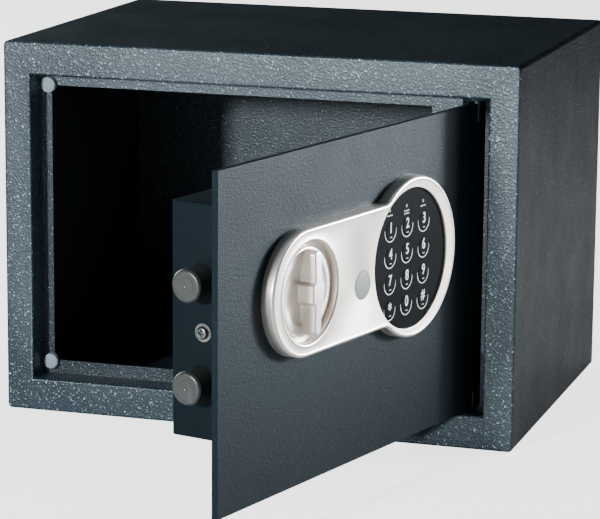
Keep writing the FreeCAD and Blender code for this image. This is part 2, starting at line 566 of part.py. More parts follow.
def cover():
    """Steel box over the lock, the posts and screws that hold it, and the side screw."""
    box = block("cover_left", "cover_right", REAR, COVER_BACK, "cover_low", "cover_high")
    back_y = value(COVER_BACK)
    front_y = value(REAR)
    box = soften("Fillet", box, "cover_edge_r", lambda edge: span(edge).YMin > front_y + 0.01
                 or span(edge).YLength > 20)
    hollow = block("cover_left + cover_wall", "cover_right - cover_wall", f"{REAR} - 1",
                   f"{COVER_BACK} - cover_wall", "cover_low + cover_wall",
                   "cover_high - cover_wall")
    tools = [hollow]
    for z in bolt_heights():
        tools.append(rod(X_AXIS, "bolt_r + bolt_slack", "cover_left - 1", f"{REAR} + bolt_depth",
                         z, "4"))
    tools.append(rod(X_AXIS, "screw_r", "cover_left - 1", f"{REAR} + side_screw_depth",
                     "side_screw_z", "4"))
    tools.append(rod(Y_AXIS, "reset_r + reset_slack", "reset_x", f"{COVER_BACK} - 4", "reset_z", "6"))
    tools.append(block("tray_left", "tray_left + 4*cell_pitch + 2*tray_wall",
                       f"{COVER_BACK} - 4", f"{COVER_BACK} + 1", "tray_low",
                       "tray_low + cell_length + 2*tray_wall + cell_room"))
    posts = []
    screws = []
    for x in ("cover_left + post_inset_x", "cover_right - post_inset_x"):
        for z in ("cover_low + post_inset_z", "cover_high - post_inset_z"):
            tools.append(rod(Y_AXIS, "screw_r", x, f"{COVER_BACK} - 4", z, "6"))
            post = rod(Y_AXIS, "post_r", x, REAR, z, "cover_depth - cover_wall")
            tap = rod(Y_AXIS, "screw_r", x, f"{COVER_BACK} - post_tap", z, "post_tap")
            posts.append(cut(post, tap))
            shank = rod(Y_AXIS, "screw_r", x, f"{COVER_BACK} - post_tap", z, "post_tap")
            head = rod(Y_AXIS, "screw_head_r", x, COVER_BACK, z, "screw_head")
            tip_y = value(f"{COVER_BACK} + screw_head")
            head = soften("Fillet", head, "head_edge_r", lambda edge: abs(span(edge).YMin - tip_y) < 0.01)
            screws.append(fuse(shank, head))
    node("lock_cover", cut(box, *tools))
    node("cover_posts", *posts)
    node("cover_screws", *screws)

    side_y = f"({REAR} + side_screw_depth)"
    ring = rod(X_AXIS, "side_washer_r", "cover_left - side_washer_thick", side_y, "side_screw_z",
               "side_washer_thick")
    hole = rod(X_AXIS, "screw_r", "cover_left - 3", side_y, "side_screw_z", "6")
    node("cover_side_washer", cut(ring, hole))
    shank = rod(X_AXIS, "screw_r", "cover_left - side_washer_thick", side_y, "side_screw_z",
                "side_washer_thick + cover_wall + guide_thick + 1")
    head = rod(X_AXIS, "side_head_r", "cover_left - side_washer_thick - screw_head", side_y,
               "side_screw_z", "screw_head")
    tip_x = value("cover_left - side_washer_thick - screw_head")
    head = soften("Fillet", head, "side_head_edge_r", lambda edge: abs(span(edge).XMax - tip_x) < 0.01)
    node("cover_side_screw", fuse(shank, head))


def electronics():
    """Control board with its buzzer, the reset button, and the battery tray with its lid."""
    board_y = f"({REAR} + circuit_depth)"
    node("control_board", block("circuit_left", "circuit_right", board_y,
                                f"{board_y} + circuit_thick", "circuit_low", "circuit_high"))
    node("buzzer", rod(Y_AXIS, "buzzer_r", "circuit_left + buzzer_inset",
                       f"{board_y} - buzzer_height", "circuit_high - buzzer_inset",
                       "buzzer_height"))
    button_y = f"({board_y} + circuit_thick + reset_travel + reset_rest)"
    node("reset_button", rod(Y_AXIS, "reset_r", "reset_x", button_y, "reset_z",
                             f"{COVER_BACK} + reset_proud - {button_y}"))

    right = "(tray_left + 4*cell_pitch + 2*tray_wall)"
    high = "(tray_low + cell_length + 2*tray_wall + cell_room)"
    tray = block("tray_left", right, f"{REAR} + tray_front", COVER_BACK, "tray_low", high)
    space = block("tray_left + tray_wall", f"{right} - tray_wall",
                  f"{REAR} + tray_front + tray_wall", f"{COVER_BACK} + 1",
                  "tray_low + tray_wall", f"{high} - tray_wall")
    node("battery_box", cut(tray, space))
    cells = []
    for index in range(4):
        x = f"tray_left + tray_wall + {index + 0.5}*cell_pitch"
        y = f"{REAR} + tray_front + tray_wall + cell_r"
        can = rod(Z_AXIS, "cell_r", x, y, "tray_low + tray_wall + cell_tip", "cell_length - cell_tip")
        button = rod(Z_AXIS, "cell_tip_r", x, y, "tray_low + tray_wall + cell_length", "cell_tip")
        cells.append(fuse(can, button))
    node("batteries", *cells)
    node("battery_cover", block("tray_left - lid_lap", f"{right} + lid_lap", COVER_BACK,
                                f"{COVER_BACK} + lid_thick", "tray_low - lid_lap",
                                f"{high} + lid_lap"))


def write_out():
    """Check every object of the document, then write one file for each node."""
    doc.recompute()
    for item in doc.Objects:
        if "Invalid" in item.State or "Error" in item.State:
            raise RuntimeError(f"{item.Label} did not recompute: {item.State}")
    labels = [piece.Label for piece in nodes]
    if len(set(labels)) != len(labels):
        raise RuntimeError("two nodes share a label")
    os.makedirs("parts", exist_ok=True)
    for piece in nodes:
        if piece.Shape.isNull() or not piece.Shape.isValid():
            raise RuntimeError(f"{piece.Label} has no valid shape")
        piece.Shape.exportStep(f"parts/{piece.Label}.step")
    print(len(nodes), "nodes written")


cabinet()
door_leaf()
hinge()
panel()
keypad()
knob()
keyhole()
bolts()
chassis()
solenoid()
cover()
electronics()
write_out()
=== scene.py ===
"""Small electronic room safe, standing open: its finer pieces, its finishes and a plain studio.

Every piece made here rides a body of the CAD frame, which is loaded first.
"""

import json
import logging
import math
from dataclasses import dataclass, field
from enum import Enum
from typing import Callable, Sequence, Union

import bmesh
import bpy
import numpy as np
from mathutils import Matrix, Vector


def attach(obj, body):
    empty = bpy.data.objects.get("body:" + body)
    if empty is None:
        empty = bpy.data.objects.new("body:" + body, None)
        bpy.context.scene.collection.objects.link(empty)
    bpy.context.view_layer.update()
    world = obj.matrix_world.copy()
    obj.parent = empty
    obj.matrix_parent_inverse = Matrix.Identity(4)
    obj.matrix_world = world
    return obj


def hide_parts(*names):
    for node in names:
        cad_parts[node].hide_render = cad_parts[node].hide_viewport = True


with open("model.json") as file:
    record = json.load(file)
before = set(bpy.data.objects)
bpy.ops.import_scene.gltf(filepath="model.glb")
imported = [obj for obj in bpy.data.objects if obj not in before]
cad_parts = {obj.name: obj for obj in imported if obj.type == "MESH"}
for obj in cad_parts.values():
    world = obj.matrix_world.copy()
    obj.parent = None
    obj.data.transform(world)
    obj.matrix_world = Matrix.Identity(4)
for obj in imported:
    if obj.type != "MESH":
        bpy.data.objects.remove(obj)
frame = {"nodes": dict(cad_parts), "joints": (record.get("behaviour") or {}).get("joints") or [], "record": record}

Array = np.ndarray
Colour = tuple[float, float, float]
Point = tuple[float, float, float]
Socket = bpy.types.NodeSocket
Value = Union[Socket, float]

LOG = logging.getLogger("safe")
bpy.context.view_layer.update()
MM = 0.001
FLAT_TOLERANCE = 1e-6
SHARP_ANGLE = math.radians(32)
FLAT_ANGLE = math.radians(0.5)


# Measures of the frame -------------------------------------------------------------------


@dataclass(frozen=True)
class Extent:
    """Lowest and highest corner of a shape, in metres."""

    low: Array
    high: Array

    @property
    def centre(self) -> Array:
        """Middle of the box."""
        return (self.low + self.high) / 2

    @property
    def size(self) -> Array:
        """Lengths of the box's sides."""
        return self.high - self.low

    @property
    def hub(self) -> Array:
        """Point at y 0 on the line through the middle along y, for pieces turned about it."""
        return self.centre * (1, 0, 1)


def extent_of(points: Array) -> Extent:
    """Box around a set of points, one row each."""
    return Extent(points.min(axis=0), points.max(axis=0))


def mesh_points(mesh: bpy.types.Mesh) -> Array:
    """Vertices of a mesh, one row each."""
    flat = np.empty(len(mesh.vertices) * 3)
    mesh.vertices.foreach_get("co", flat)
    return flat.reshape(-1, 3)


def move_points(mesh: bpy.types.Mesh, place: Callable[[Array], Array]) -> None:
    """Move all vertices of a mesh to where a function puts them."""
    mesh.vertices.foreach_set("co", place(mesh_points(mesh)).ravel())
    mesh.update()


def node_points(node: str) -> Array:
    """Vertices of a CAD node at rest, one row each."""
    return mesh_points(frame["nodes"][node].data)


@dataclass(frozen=True)
class DoorSwing:
    """Turn of the open door about its hinge, so that its pieces can be drawn on the shut door.

    On the shut door x runs along the leaf to the hinge, y runs into the cabinet and z is up.
    """

    pivot: Array
    angle: float

    @classmethod
    def of_joint(cls, name: str) -> "DoorSwing":
        """Read the hinge's place and how far the door stands open from a joint of the record."""
        joint = next(item for item in frame["joints"] if item["name"] == name)
        return cls(np.array(joint["pos_m"]) * (1, 1, 0), -math.radians(joint["range_deg"][0]))

    def turn(self, points: Array, angle: float) -> Array:
        """Turn points about the hinge's axis by an angle."""
        cosine, sine = math.cos(angle), math.sin(angle)
        x, y, z = np.moveaxis(points - self.pivot, -1, 0)
        return np.stack([x * cosine - y * sine, x * sine + y * cosine, z], axis=-1) + self.pivot

    def open(self, points: Array) -> Array:
        """Points of the shut door, moved to the open door."""
        return self.turn(points, self.angle)

    def shut(self, points: Array) -> Array:
        """Points of the open door, moved to the shut door."""
        return self.turn(points, -self.angle)

    def extent(self, node: str) -> Extent:
        """Box of a CAD node as it lies on the shut door."""
        return extent_of(self.shut(node_points(node)))


SWING = DoorSwing.of_joint("door_hinge")


def stay(points: Array) -> Array:
    """Leave points where they are, for pieces of the cabinet."""
    return points


# Surfaces --------------------------------------------------------------------------------


class Shell:
    """Grid surfaces of one piece, collected and then made into one mesh.

    Its UV map runs with the grid: u along the columns, v along the rows, each from 0 to 1.
    """

    def __init__(self) -> None:
        """Start with no surface."""
        self.points: list[Array] = []
        self.faces: list[Array] = []
        self.charts: list[Array] = []
        self.count = 0

    def add(self, points: Array, around: bool = False) -> "Shell":
        """Add a grid of points, with a quad between neighbouring rows and columns.

        Args:
            points: grid of rows by columns by 3.
            around: whether the last column meets the first.

        Returns:
            The shell itself, so that calls can follow each other.
        """
        rows, columns = points.shape[:2]
        index = np.arange(rows * columns).reshape(rows, columns) + self.count
        if around:
            index = np.concatenate([index, index[:, :1]], axis=1)
        u, v = np.meshgrid(np.linspace(0, 1, index.shape[1]), np.linspace(0, 1, rows))
        chart = np.stack([u, v], axis=-1)
        self.points.append(points.reshape(-1, 3))
        self.faces.append(corners_of(index).reshape(-1, 4))
        self.charts.append(corners_of(chart).reshape(-1, 2))
        self.count += rows * columns
        return self

    def build(self, name: str, place: Callable[[Array], Array] = stay,
              flats: Sequence[float] = ()) -> bpy.types.Object:
        """Make the object: seams merged, flat gaps closed, faces outwards, sharp edges kept.

        Args:
            name: name of the piece.
            place: moves the finished points to where they stand.
            flats: levels of y at which open edges are closed by a flat face with holes.

        Returns:
            The linked object, at the origin.
        """
        mesh = bpy.data.meshes.new(name)
        mesh.from_pydata(np.concatenate(self.points).tolist(), [],
                         np.concatenate(self.faces).tolist())
        mesh.uv_layers.new(name="grid").data.foreach_set("uv", np.concatenate(self.charts).ravel())
        work = bmesh.new()
        work.from_mesh(mesh)
        bmesh.ops.remove_doubles(work, verts=work.verts, dist=FLAT_TOLERANCE)
        for level in flats:
            rim = [edge for edge in work.edges if edge.is_boundary
                   and all(abs(vertex.co.y - level) < FLAT_TOLERANCE for vertex in edge.verts)]
            bmesh.ops.triangle_fill(work, use_beauty=True, edges=rim)
        bmesh.ops.recalc_face_normals(work, faces=work.faces)
        store_shaded(work, mesh)
        move_points(mesh, place)
        return link(bpy.data.objects.new(name, mesh))


def store_shaded(work: bmesh.types.BMesh, mesh: bpy.types.Mesh) -> None:
    """Write a surface to a mesh, shaded smooth save across edges sharper than SHARP_ANGLE."""
    for edge in work.edges:
        edge.smooth = edge.calc_face_angle(0) < SHARP_ANGLE
    for face in work.faces:
        face.smooth = True
    work.to_mesh(mesh)
    work.free()


def corners_of(grid: Array) -> Array:
    """The four corners of each cell of a grid, in turn round the cell."""
    return np.stack([grid[:-1, :-1], grid[:-1, 1:], grid[1:, 1:], grid[1:, :-1]], axis=2)


def link(item: bpy.types.Object) -> bpy.types.Object:
    """Put an object into the scene."""
    bpy.context.scene.collection.objects.link(item)
    return item


def bow(centre: Sequence[float], radii: Sequence[float], start: float, end: float,
        steps: int = 8) -> Array:
    """Arc of an ellipse: centre + radii * (cos a, sin a), with a from start to end in degrees."""
    angle = np.radians(np.linspace(start, end, steps))
    return np.asarray(centre) + np.asarray(radii) * np.stack([np.cos(angle), np.sin(angle)], -1)


def line(*points: Sequence[float]) -> Array:
    """Straight stretches through the points given, one row each."""
    return np.array(points, float)


def ease(share: Array) -> Array:
    """Smooth step from 0 to 1: 3t^2 - 2t^3, held beyond both ends."""
    held = np.clip(share, 0, 1)
    return held * held * (3 - 2 * held)


class Along(Enum):
    """Direction in which a lathed piece's axis runs: the two directions across it, and the axis."""

    X = (1, 2, 0)
    Y = (0, 2, 1)
    Z = (0, 1, 2)


def lathe(profile: Array, centre: Sequence[float], along: Along, segments: int = 64) -> Array:
    """Profile turned about an axis: radius * (cos a, sin a) across the axis, distance along it.

    Args:
        profile: rows of (radius, distance along the axis).
        centre: point that the axis goes through and distances start from.
        along: direction of the axis.
        segments: number of steps round the axis.

    Returns:
        Grid of profile rows by segments by 3, whose last column meets the first.
    """
    angle = np.linspace(0, 2 * math.pi, segments, endpoint=False)
    across, upwards, axis = along.value
    grid = np.empty((len(profile), segments, 3))
    grid[..., across] = profile[:, :1] * np.cos(angle)
    grid[..., upwards] = profile[:, :1] * np.sin(angle)
    grid[..., axis] = profile[:, 1:]
    return grid + np.asarray(centre)


@dataclass(frozen=True)
class Outline:
    """Closed curve in a plane of constant y, with the direction out of it at each point."""

    points: Array
    outward: Array

    def carry(self, profile: Array) -> Array:
        """Profile carried along the curve: point - inset * outward, at the profile's y.

        Args:
            profile: rows of (inset from the curve, y).

        Returns:
            Grid of profile rows by curve points by 3, whose last column meets the first.
        """
        flat = self.points - profile[:, None, :1] * self.outward
        level = np.broadcast_to(profile[:, None, 1], flat.shape[:2])
        return np.stack([flat[..., 0], level, flat[..., 1]], axis=-1)


def outline_through(points: Array) -> Outline:
    """Outline through closed points: its outward is the tangent (central difference) turned."""
    tangent = np.roll(points, -1, axis=0) - np.roll(points, 1, axis=0)
    tangent /= np.linalg.norm(tangent, axis=1, keepdims=True)
    outward = np.stack([tangent[:, 1], -tangent[:, 0]], axis=1)
    x, z = points.T
    area = np.sum(x * np.roll(z, -1) - np.roll(x, -1) * z)
    return Outline(points, outward * math.copysign(1, area))


def rounded_box(low: Array, high: Array, radius: float, steps: int = 7) -> Outline:
    """Outline of a rectangle with round corners: a quarter arc at each corner."""
    corners = ((high[0], high[1], 0), (low[0], high[1], 90), (low[0], low[1], 180),
               (high[0], low[1], 270))
    middle = (low + high) / 2
    arcs = [bow(np.array([x, z]) - radius * np.sign(np.array([x, z]) - middle), (radius, radius),
                turn, turn + 90, steps) for x, z, turn in corners]
    return outline_through(np.concatenate(arcs))


def domed_disc(radius: float, depths: Sequence[float], dome: float, edge: float,
               steps: int) -> Array:
    """Profile of a disc with a low dome, which falls back by dome * share^2, and a rounded edge.

    Args:
        radius: radius of the disc.
        depths: y of its front and of its back.
        dome: how far the front falls back from the middle to the edge.
        edge: radius of the edge's rounding.
        steps: number of rows across the dome.

    Returns:
        Rows of (radius, y).
    """
    front, back = depths
    share = np.linspace(0, 1, steps)
    return np.concatenate([
        np.stack([(radius - edge) * share, front + dome * share ** 2], axis=1),
        bow((radius - edge, front + dome + edge), (edge, edge), -80, 0, 6),
        line((radius, back), (0, back)),
    ])


# Finishes --------------------------------------------------------------------------------


class Graph:
    """Short calls that place and join the nodes of one material or group."""

    def __init__(self, tree: bpy.types.NodeTree) -> None:
        """Work on a node tree."""
        self.tree = tree

    def node(self, kind: str, **settings: object) -> bpy.types.Node:
        """Place a node of a kind and set its options."""
        made = self.tree.nodes.new(kind)
        for option, setting in settings.items():
            setattr(made, option, setting)
        return made

    def feed(self, target: Socket, source: Value) -> None:
        """Join an output to an input, or set the input's own value."""
        if isinstance(source, bpy.types.NodeSocket):
            self.tree.links.new(source, target)
        else:
            target.default_value = source

    def math(self, operation: str, first: Value, second: Value = 0.0) -> Socket:
        """Result of one sum on two values."""
        made = self.node("ShaderNodeMath", operation=operation)
        self.feed(made.inputs[0], first)
        self.feed(made.inputs[1], second)
        return made.outputs[0]

    def span(self, source: Socket, low: float, high: float, to_low: float = 0.0,
             to_high: float = 1.0) -> Socket:
        """A value moved from one range to another, and held within it."""
        made = self.node("ShaderNodeMapRange")
        for index, number in enumerate((low, high, to_low, to_high), start=1):
            made.inputs[index].default_value = number
        self.feed(made.inputs[0], source)
        return made.outputs[0]

    def noise(self, vector: Socket, scale: Value, detail: float = 2.0,
              roughness: float = 0.5) -> Socket:
        """Cloudy noise at a number of lumps to the metre."""
        made = self.node("ShaderNodeTexNoise")
        self.feed(made.inputs["Vector"], vector)
        self.feed(made.inputs["Scale"], scale)
        made.inputs["Detail"].default_value = detail
        made.inputs["Roughness"].default_value = roughness
        return made.outputs["Fac"]

    def cells(self, vector: Socket, scale: Value, feature: str = "F1") -> Socket:
        """Distance to the nearest of scattered points, as in pebbles."""
        made = self.node("ShaderNodeTexVoronoi", feature=feature)
        self.feed(made.inputs["Vector"], vector)
        self.feed(made.inputs["Scale"], scale)
        return made.outputs["Distance"]

    def mix(self, share: Value, first: Union[Socket, Colour], second: Union[Socket, Colour],
            blend: str = "MIX") -> Socket:
        """Two colours mixed by a share."""
        made = self.node("ShaderNodeMix", data_type="RGBA", blend_type=blend)
        self.feed(made.inputs["Factor"], share)
        for socket, source in ((made.inputs[6], first), (made.inputs[7], second)):
            self.feed(socket, source if isinstance(source, bpy.types.NodeSocket) else (*source, 1))
        return made.outputs[2]

    def stretch(self, vector: Socket, scale: Sequence[float],
                turn: Sequence[float] = (0, 0, 0)) -> Socket:
        """Coordinates turned and stretched, for streaks."""
        made = self.node("ShaderNodeMapping")
        self.feed(made.inputs["Vector"], vector)
        made.inputs["Rotation"].default_value = turn
        made.inputs["Scale"].default_value = scale
        return made.outputs[0]

    def bump(self, height: Socket, distance: float, strength: float = 1.0) -> Socket:
        """Surface relief of a depth in metres from a height between 0 and 1."""
        made = self.node("ShaderNodeBump")
        made.inputs["Strength"].default_value = strength
        made.inputs["Distance"].default_value = distance
        self.feed(made.inputs["Height"], height)
        return made.outputs[0]


class Effect(Enum):
    """Effects that several finishes share, each a node group built once."""

    BEADS = "beaded_coat"
    SMUDGES = "hand_smudges"
    GRAIN = "moulding_grain"
    SCRATCHES = "fine_scratches"
    RINGS = "turning_rings"

    def group(self) -> bpy.types.NodeTree:
        """The effect's node group, made the first time that it is asked for."""
        found = bpy.data.node_groups.get(self.value)
        if found:
            return found
        group = bpy.data.node_groups.new(self.value, "ShaderNodeTree")
        face = group.interface
        face.new_socket("Vector", in_out="INPUT", socket_type="NodeSocketVector")
        face.new_socket("Scale", in_out="INPUT", socket_type="NodeSocketFloat")
        face.new_socket("Height", in_out="OUTPUT", socket_type="NodeSocketFloat")
        face.new_socket("Mask", in_out="OUTPUT", socket_type="NodeSocketFloat")
        graph = Graph(group)
        given = graph.node("NodeGroupInput")
        result = graph.node("NodeGroupOutput")
        height, mask = EFFECT_RECIPES[self](graph, given.outputs["Vector"], given.outputs["Scale"])
        graph.feed(result.inputs["Height"], height)
        graph.feed(result.inputs["Mask"], mask)
        return group

    def place(self, graph: Graph, vector: Socket, scale: float) -> tuple[Socket, Socket]:
        """Place the effect in a material.

        Args:
            graph: the material's graph.
            vector: coordinates of the pattern.
            scale: number of marks to the metre, or to the UV map's side.

        Returns:
            The effect's height and its mask.
        """
        made = graph.node("ShaderNodeGroup", node_tree=self.group())
        graph.feed(made.inputs["Vector"], vector)
        graph.feed(made.inputs["Scale"], scale)
        return made.outputs["Height"], made.outputs["Mask"]


def beads_recipe(graph: Graph, vector: Socket, scale: Socket) -> tuple[Socket, Socket]:
    """Textured powder coat: rounded pebbles over cloudy noise; the mask is the highest beads, which the powder
    coats paint lighter as a painted highlight.
    """
    pebbles = graph.math("SUBTRACT", 1.0, graph.cells(vector, scale, "SMOOTH_F1"))
    cloud = graph.noise(vector, graph.math("MULTIPLY", scale, 0.9), 3, 0.6)
    height = graph.math("ADD", graph.math("MULTIPLY", pebbles, 0.5), cloud)
    return height, graph.span(height, 0.94, 1.08)


def smudges_recipe(graph: Graph, vector: Socket, scale: Socket) -> tuple[Socket, Socket]:
    """Broad uneven sheen, as from handling; the mask is the same with more contrast."""
    cloud = graph.noise(vector, scale, 5, 0.55)
    return cloud, graph.span(cloud, 0.38, 0.68)


def grain_recipe(graph: Graph, vector: Socket, scale: Socket) -> tuple[Socket, Socket]:
    """Spark-eroded grain of a moulding; the mask is sparse specks of it."""
    fine = graph.noise(vector, scale, 4, 0.7)
    return fine, graph.span(fine, 0.6, 0.72)


def scratches_recipe(graph: Graph, vector: Socket, scale: Socket) -> tuple[Socket, Socket]:
    """Two crossed sets of long thin streaks; the mask is where either is deep."""
    first = graph.noise(graph.stretch(vector, (1, 0.06, 0.06), (0.3, 0.2, 0.7)), scale, 2)
    second = graph.noise(graph.stretch(vector, (0.05, 1, 0.05), (0.6, 0.1, -0.4)), scale, 2)
    deep = graph.math("MAXIMUM", first, second)
    return deep, graph.span(deep, 0.66, 0.76)


def rings_recipe(graph: Graph, vector: Socket, scale: Socket) -> tuple[Socket, Socket]:
    """Marks left by turning: noise that changes along v only; the mask is its brighter rings."""
    rings = graph.noise(graph.stretch(vector, (0.01, 1, 0)), scale, 3, 0.7)
    return rings, graph.span(rings, 0.42, 0.62)


EFFECT_RECIPES = {
    Effect.BEADS: beads_recipe,
    Effect.SMUDGES: smudges_recipe,
    Effect.GRAIN: grain_recipe,
    Effect.SCRATCHES: scratches_recipe,
    Effect.RINGS: rings_recipe,
}


@dataclass(frozen=True)
class Finish:
    """A finish: its name and the shader's even values; each kind of finish adds its pattern."""

    name: str
    colour: Colour
    second: Colour
    roughness: float = 0.4
    metallic: float = 0.0
    coat: float = 0.0
    coat_roughness: float = 0.2
    specular: float = 0.5
    handling: float = 28
    spread: float = 0.05

    def material(self) -> bpy.types.Material:
        """The finish's material, made the first time that it is asked for."""
        found = bpy.data.materials.get(self.name)
        if found:
            return found
        made = bpy.data.materials.new(self.name)
        made.use_nodes = True
        graph = Graph(made.node_tree)
        shader = made.node_tree.nodes["Principled BSDF"]
        shader.inputs["Metallic"].default_value = self.metallic
        shader.inputs["Coat Weight"].default_value = self.coat
        shader.inputs["Coat Roughness"].default_value = self.coat_roughness
        shader.inputs["Specular IOR Level"].default_value = self.specular
        self.pattern(graph, shader, graph.node("ShaderNodeTexCoord"))
        return made

    def pattern(self, graph: Graph, shader: bpy.types.Node, where: bpy.types.Node) -> None:
        """Wire colour, roughness and relief."""
        raise NotImplementedError

    def sheen(self, graph: Graph, where: bpy.types.Node) -> Socket:
        """Roughness that varies by the finish's spread about its own, as from handling."""
        cloud, _ = Effect.SMUDGES.place(graph, where.outputs["Object"], self.handling)
        return graph.span(cloud, 0.3, 0.7, self.roughness - self.spread,
                          self.roughness + self.spread)


@dataclass(frozen=True)
class BeadedPaint(Finish):
    """Textured powder coat over steel: raised beads that catch the light, their tops also painted lighter as
    painted glints.
    """

    beads: float = 700
    depth: float = 0.00012
    glint_share: float = 0.5
    patches: float = 9
    fading: float = 0.05

    def pattern(self, graph: Graph, shader: bpy.types.Node, where: bpy.types.Node) -> None:
        """Bead tops painted lighter than the hollows as painted glints, random paler patches, uneven sheen and the
        beads' relief.
        """
        height, top = Effect.BEADS.place(graph, where.outputs["Object"], self.beads)
        _, patch = Effect.SMUDGES.place(graph, where.outputs["Object"], self.patches)
        # Painted highlight: the highest beads are painted towards the second colour to stand for their glints.
        share = graph.math("MULTIPLY", top, self.glint_share)
        tone = graph.mix(share, self.colour, self.second)
        shade = graph.span(patch, 0, 1, 0.0, self.fading)
        graph.feed(shader.inputs["Base Color"], graph.mix(shade, tone, self.second))
        graph.feed(shader.inputs["Roughness"], self.sheen(graph, where))
        graph.feed(shader.inputs["Normal"], graph.bump(height, self.depth))


@dataclass(frozen=True)
class MouldedPlastic(Finish):
    """Injection moulding: fine grain, faint mottling and a sheen that handling has changed."""

    spread: float = 0.06
    grain: float = 2600
    depth: float = 0.00001
    mottle: float = 0.25
    patches: float = 22

    def pattern(self, graph: Graph, shader: bpy.types.Node, where: bpy.types.Node) -> None:
        """Mottled colour, sheen and grain."""
        height, speck = Effect.GRAIN.place(graph, where.outputs["Object"], self.grain)
        _, patch = Effect.SMUDGES.place(graph, where.outputs["Object"], self.patches)
        uneven = graph.math("ADD", patch, graph.math("MULTIPLY", speck, 0.6))
        share = graph.math("MULTIPLY", uneven, self.mottle)
        graph.feed(shader.inputs["Base Color"], graph.mix(share, self.colour, self.second))
        graph.feed(shader.inputs["Roughness"], self.sheen(graph, where))
        graph.feed(shader.inputs["Normal"], graph.bump(height, self.depth))


@dataclass(frozen=True)
class TurnedMetal(Finish):
    """Steel from a lathe: rings that follow the piece's own UV map."""

    rings: float = 90
    depth: float = 0.00003
    scratches: float = 500

    def pattern(self, graph: Graph, shader: bpy.types.Node, where: bpy.types.Node) -> None:
        """Bands of tone and relief round the axis, crossed by handling marks."""
        height, band = Effect.RINGS.place(graph, where.outputs["UV"], self.rings)
        _, scratch = Effect.SCRATCHES.place(graph, where.outputs["Object"], self.scratches)
        tone = graph.mix(graph.math("MULTIPLY", band, 0.6), self.colour, self.second)
        share = graph.math("MULTIPLY", scratch, 0.5)
        graph.feed(shader.inputs["Base Color"], graph.mix(share, tone, self.second))
        graph.feed(shader.inputs["Roughness"], graph.span(height, 0.3, 0.7, self.roughness - 0.08,
                                                          self.roughness + 0.1))
        graph.feed(shader.inputs["Normal"], graph.bump(height, self.depth))


@dataclass(frozen=True)
class PlatedMetal(Finish):
    """Zinc, steel or brass straight from the works: crystal patches and fine scratches."""

    spread: float = 0.08
    patches: float = 180
    scratches: float = 420
    depth: float = 0.00001

    def pattern(self, graph: Graph, shader: bpy.types.Node, where: bpy.types.Node) -> None:
        """Patches of two tones, scratches and uneven sheen."""
        crystal = graph.cells(where.outputs["Object"], self.patches)
        deep, scratch = Effect.SCRATCHES.place(graph, where.outputs["Object"], self.scratches)
        share = graph.math("MAXIMUM", graph.span(crystal, 0.1, 0.8), scratch)
        graph.feed(shader.inputs["Base Color"], graph.mix(share, self.colour, self.second))
        graph.feed(shader.inputs["Roughness"], self.sheen(graph, where))
        graph.feed(shader.inputs["Normal"], graph.bump(deep, self.depth))


@dataclass(frozen=True)
class StripedFinish(Finish):
    """A finish in bands along one direction: wound wire, a flat lead, a circuit, a cell's wrap."""

    direction: str = "Z"
    bands: float = 400
    depth: float = 0.00005
    waviness: float = 0.6

    def pattern(self, graph: Graph, shader: bpy.types.Node, where: bpy.types.Node) -> None:
        """Bands of two tones with a matching relief, and uneven sheen."""
        wave = graph.node("ShaderNodeTexWave", bands_direction=self.direction)
        graph.feed(wave.inputs["Vector"], where.outputs["Object"])
        graph.feed(wave.inputs["Scale"], self.bands)
        wave.inputs["Distortion"].default_value = self.waviness
        graph.feed(shader.inputs["Base Color"],
                   graph.mix(wave.outputs["Fac"], self.colour, self.second))
        graph.feed(shader.inputs["Roughness"], self.sheen(graph, where))
        graph.feed(shader.inputs["Normal"], graph.bump(wave.outputs["Fac"], self.depth))


@dataclass(frozen=True)
class PrintedInk(Finish):
    """Screen-printed ink, rubbed thin in specks."""

    grain: float = 1800
    depth: float = 0.00001

    def pattern(self, graph: Graph, shader: bpy.types.Node, where: bpy.types.Node) -> None:
        """Ink that thins where it is rubbed."""
        height, speck = Effect.GRAIN.place(graph, where.outputs["Object"], self.grain)
        graph.feed(shader.inputs["Base Color"],
                   graph.mix(graph.math("MULTIPLY", speck, 0.5), self.colour, self.second))
        graph.feed(shader.inputs["Roughness"], self.sheen(graph, where))
        graph.feed(shader.inputs["Normal"], graph.bump(height, self.depth))


# Each powder coat's second colour is the painted glint colour of its bead tops, and also the tint of its random
# patches.
CABINET_PAINT = BeadedPaint("cabinet powder coat", (0.003, 0.010, 0.016), (0.34, 0.42, 0.46),
                            roughness=0.4, specular=0.4, beads=760, depth=0.0003, glint_share=0.9)
DOOR_PAINT = BeadedPaint("door powder coat", (0.003, 0.010, 0.015), (0.032, 0.056, 0.072),
                         roughness=0.48, specular=0.12, beads=950, depth=0.0002, glint_share=0.6)
COVER_PAINT = BeadedPaint("lock box paint", (0.001, 0.006, 0.009), (0.012, 0.023, 0.030),
                          roughness=0.52, specular=0.12, beads=1100, depth=0.00008, glint_share=0.5)
PANEL_PLASTIC = MouldedPlastic("pearl panel", (0.97, 0.87, 0.79), (0.90, 0.80, 0.73),
                               roughness=0.36, metallic=0.8, coat=0.1)
KEY_PLASTIC = MouldedPlastic("charcoal keypad", (0.005, 0.0055, 0.006), (0.014, 0.015, 0.016),
                             roughness=0.5, specular=0.02, mottle=0.35)
CAP_PLASTIC = MouldedPlastic("grey plug", (0.30, 0.29, 0.29), (0.22, 0.21, 0.215), roughness=0.4)
BLACK_PLASTIC = MouldedPlastic("black moulding", (0.014, 0.014, 0.015), (0.035, 0.035, 0.036),
                               roughness=0.45, depth=0.00003)
RED_PLASTIC = MouldedPlastic("red button", (0.45, 0.02, 0.015), (0.3, 0.015, 0.01),
                             roughness=0.35)
RUBBER = MouldedPlastic("grey buffer rubber", (0.24, 0.29, 0.33), (0.17, 0.21, 0.24),
                        roughness=0.6, depth=0.00004, mottle=0.5)
LAMP_PLASTIC = MouldedPlastic("smoked lamp lens", (0.36, 0.34, 0.30), (0.22, 0.2, 0.17),
                              roughness=0.2, coat=0.6)
BOLT_STEEL = TurnedMetal("turned bolt steel", (0.07, 0.072, 0.067), (0.15, 0.15, 0.14),
                         roughness=0.34, metallic=0.7)
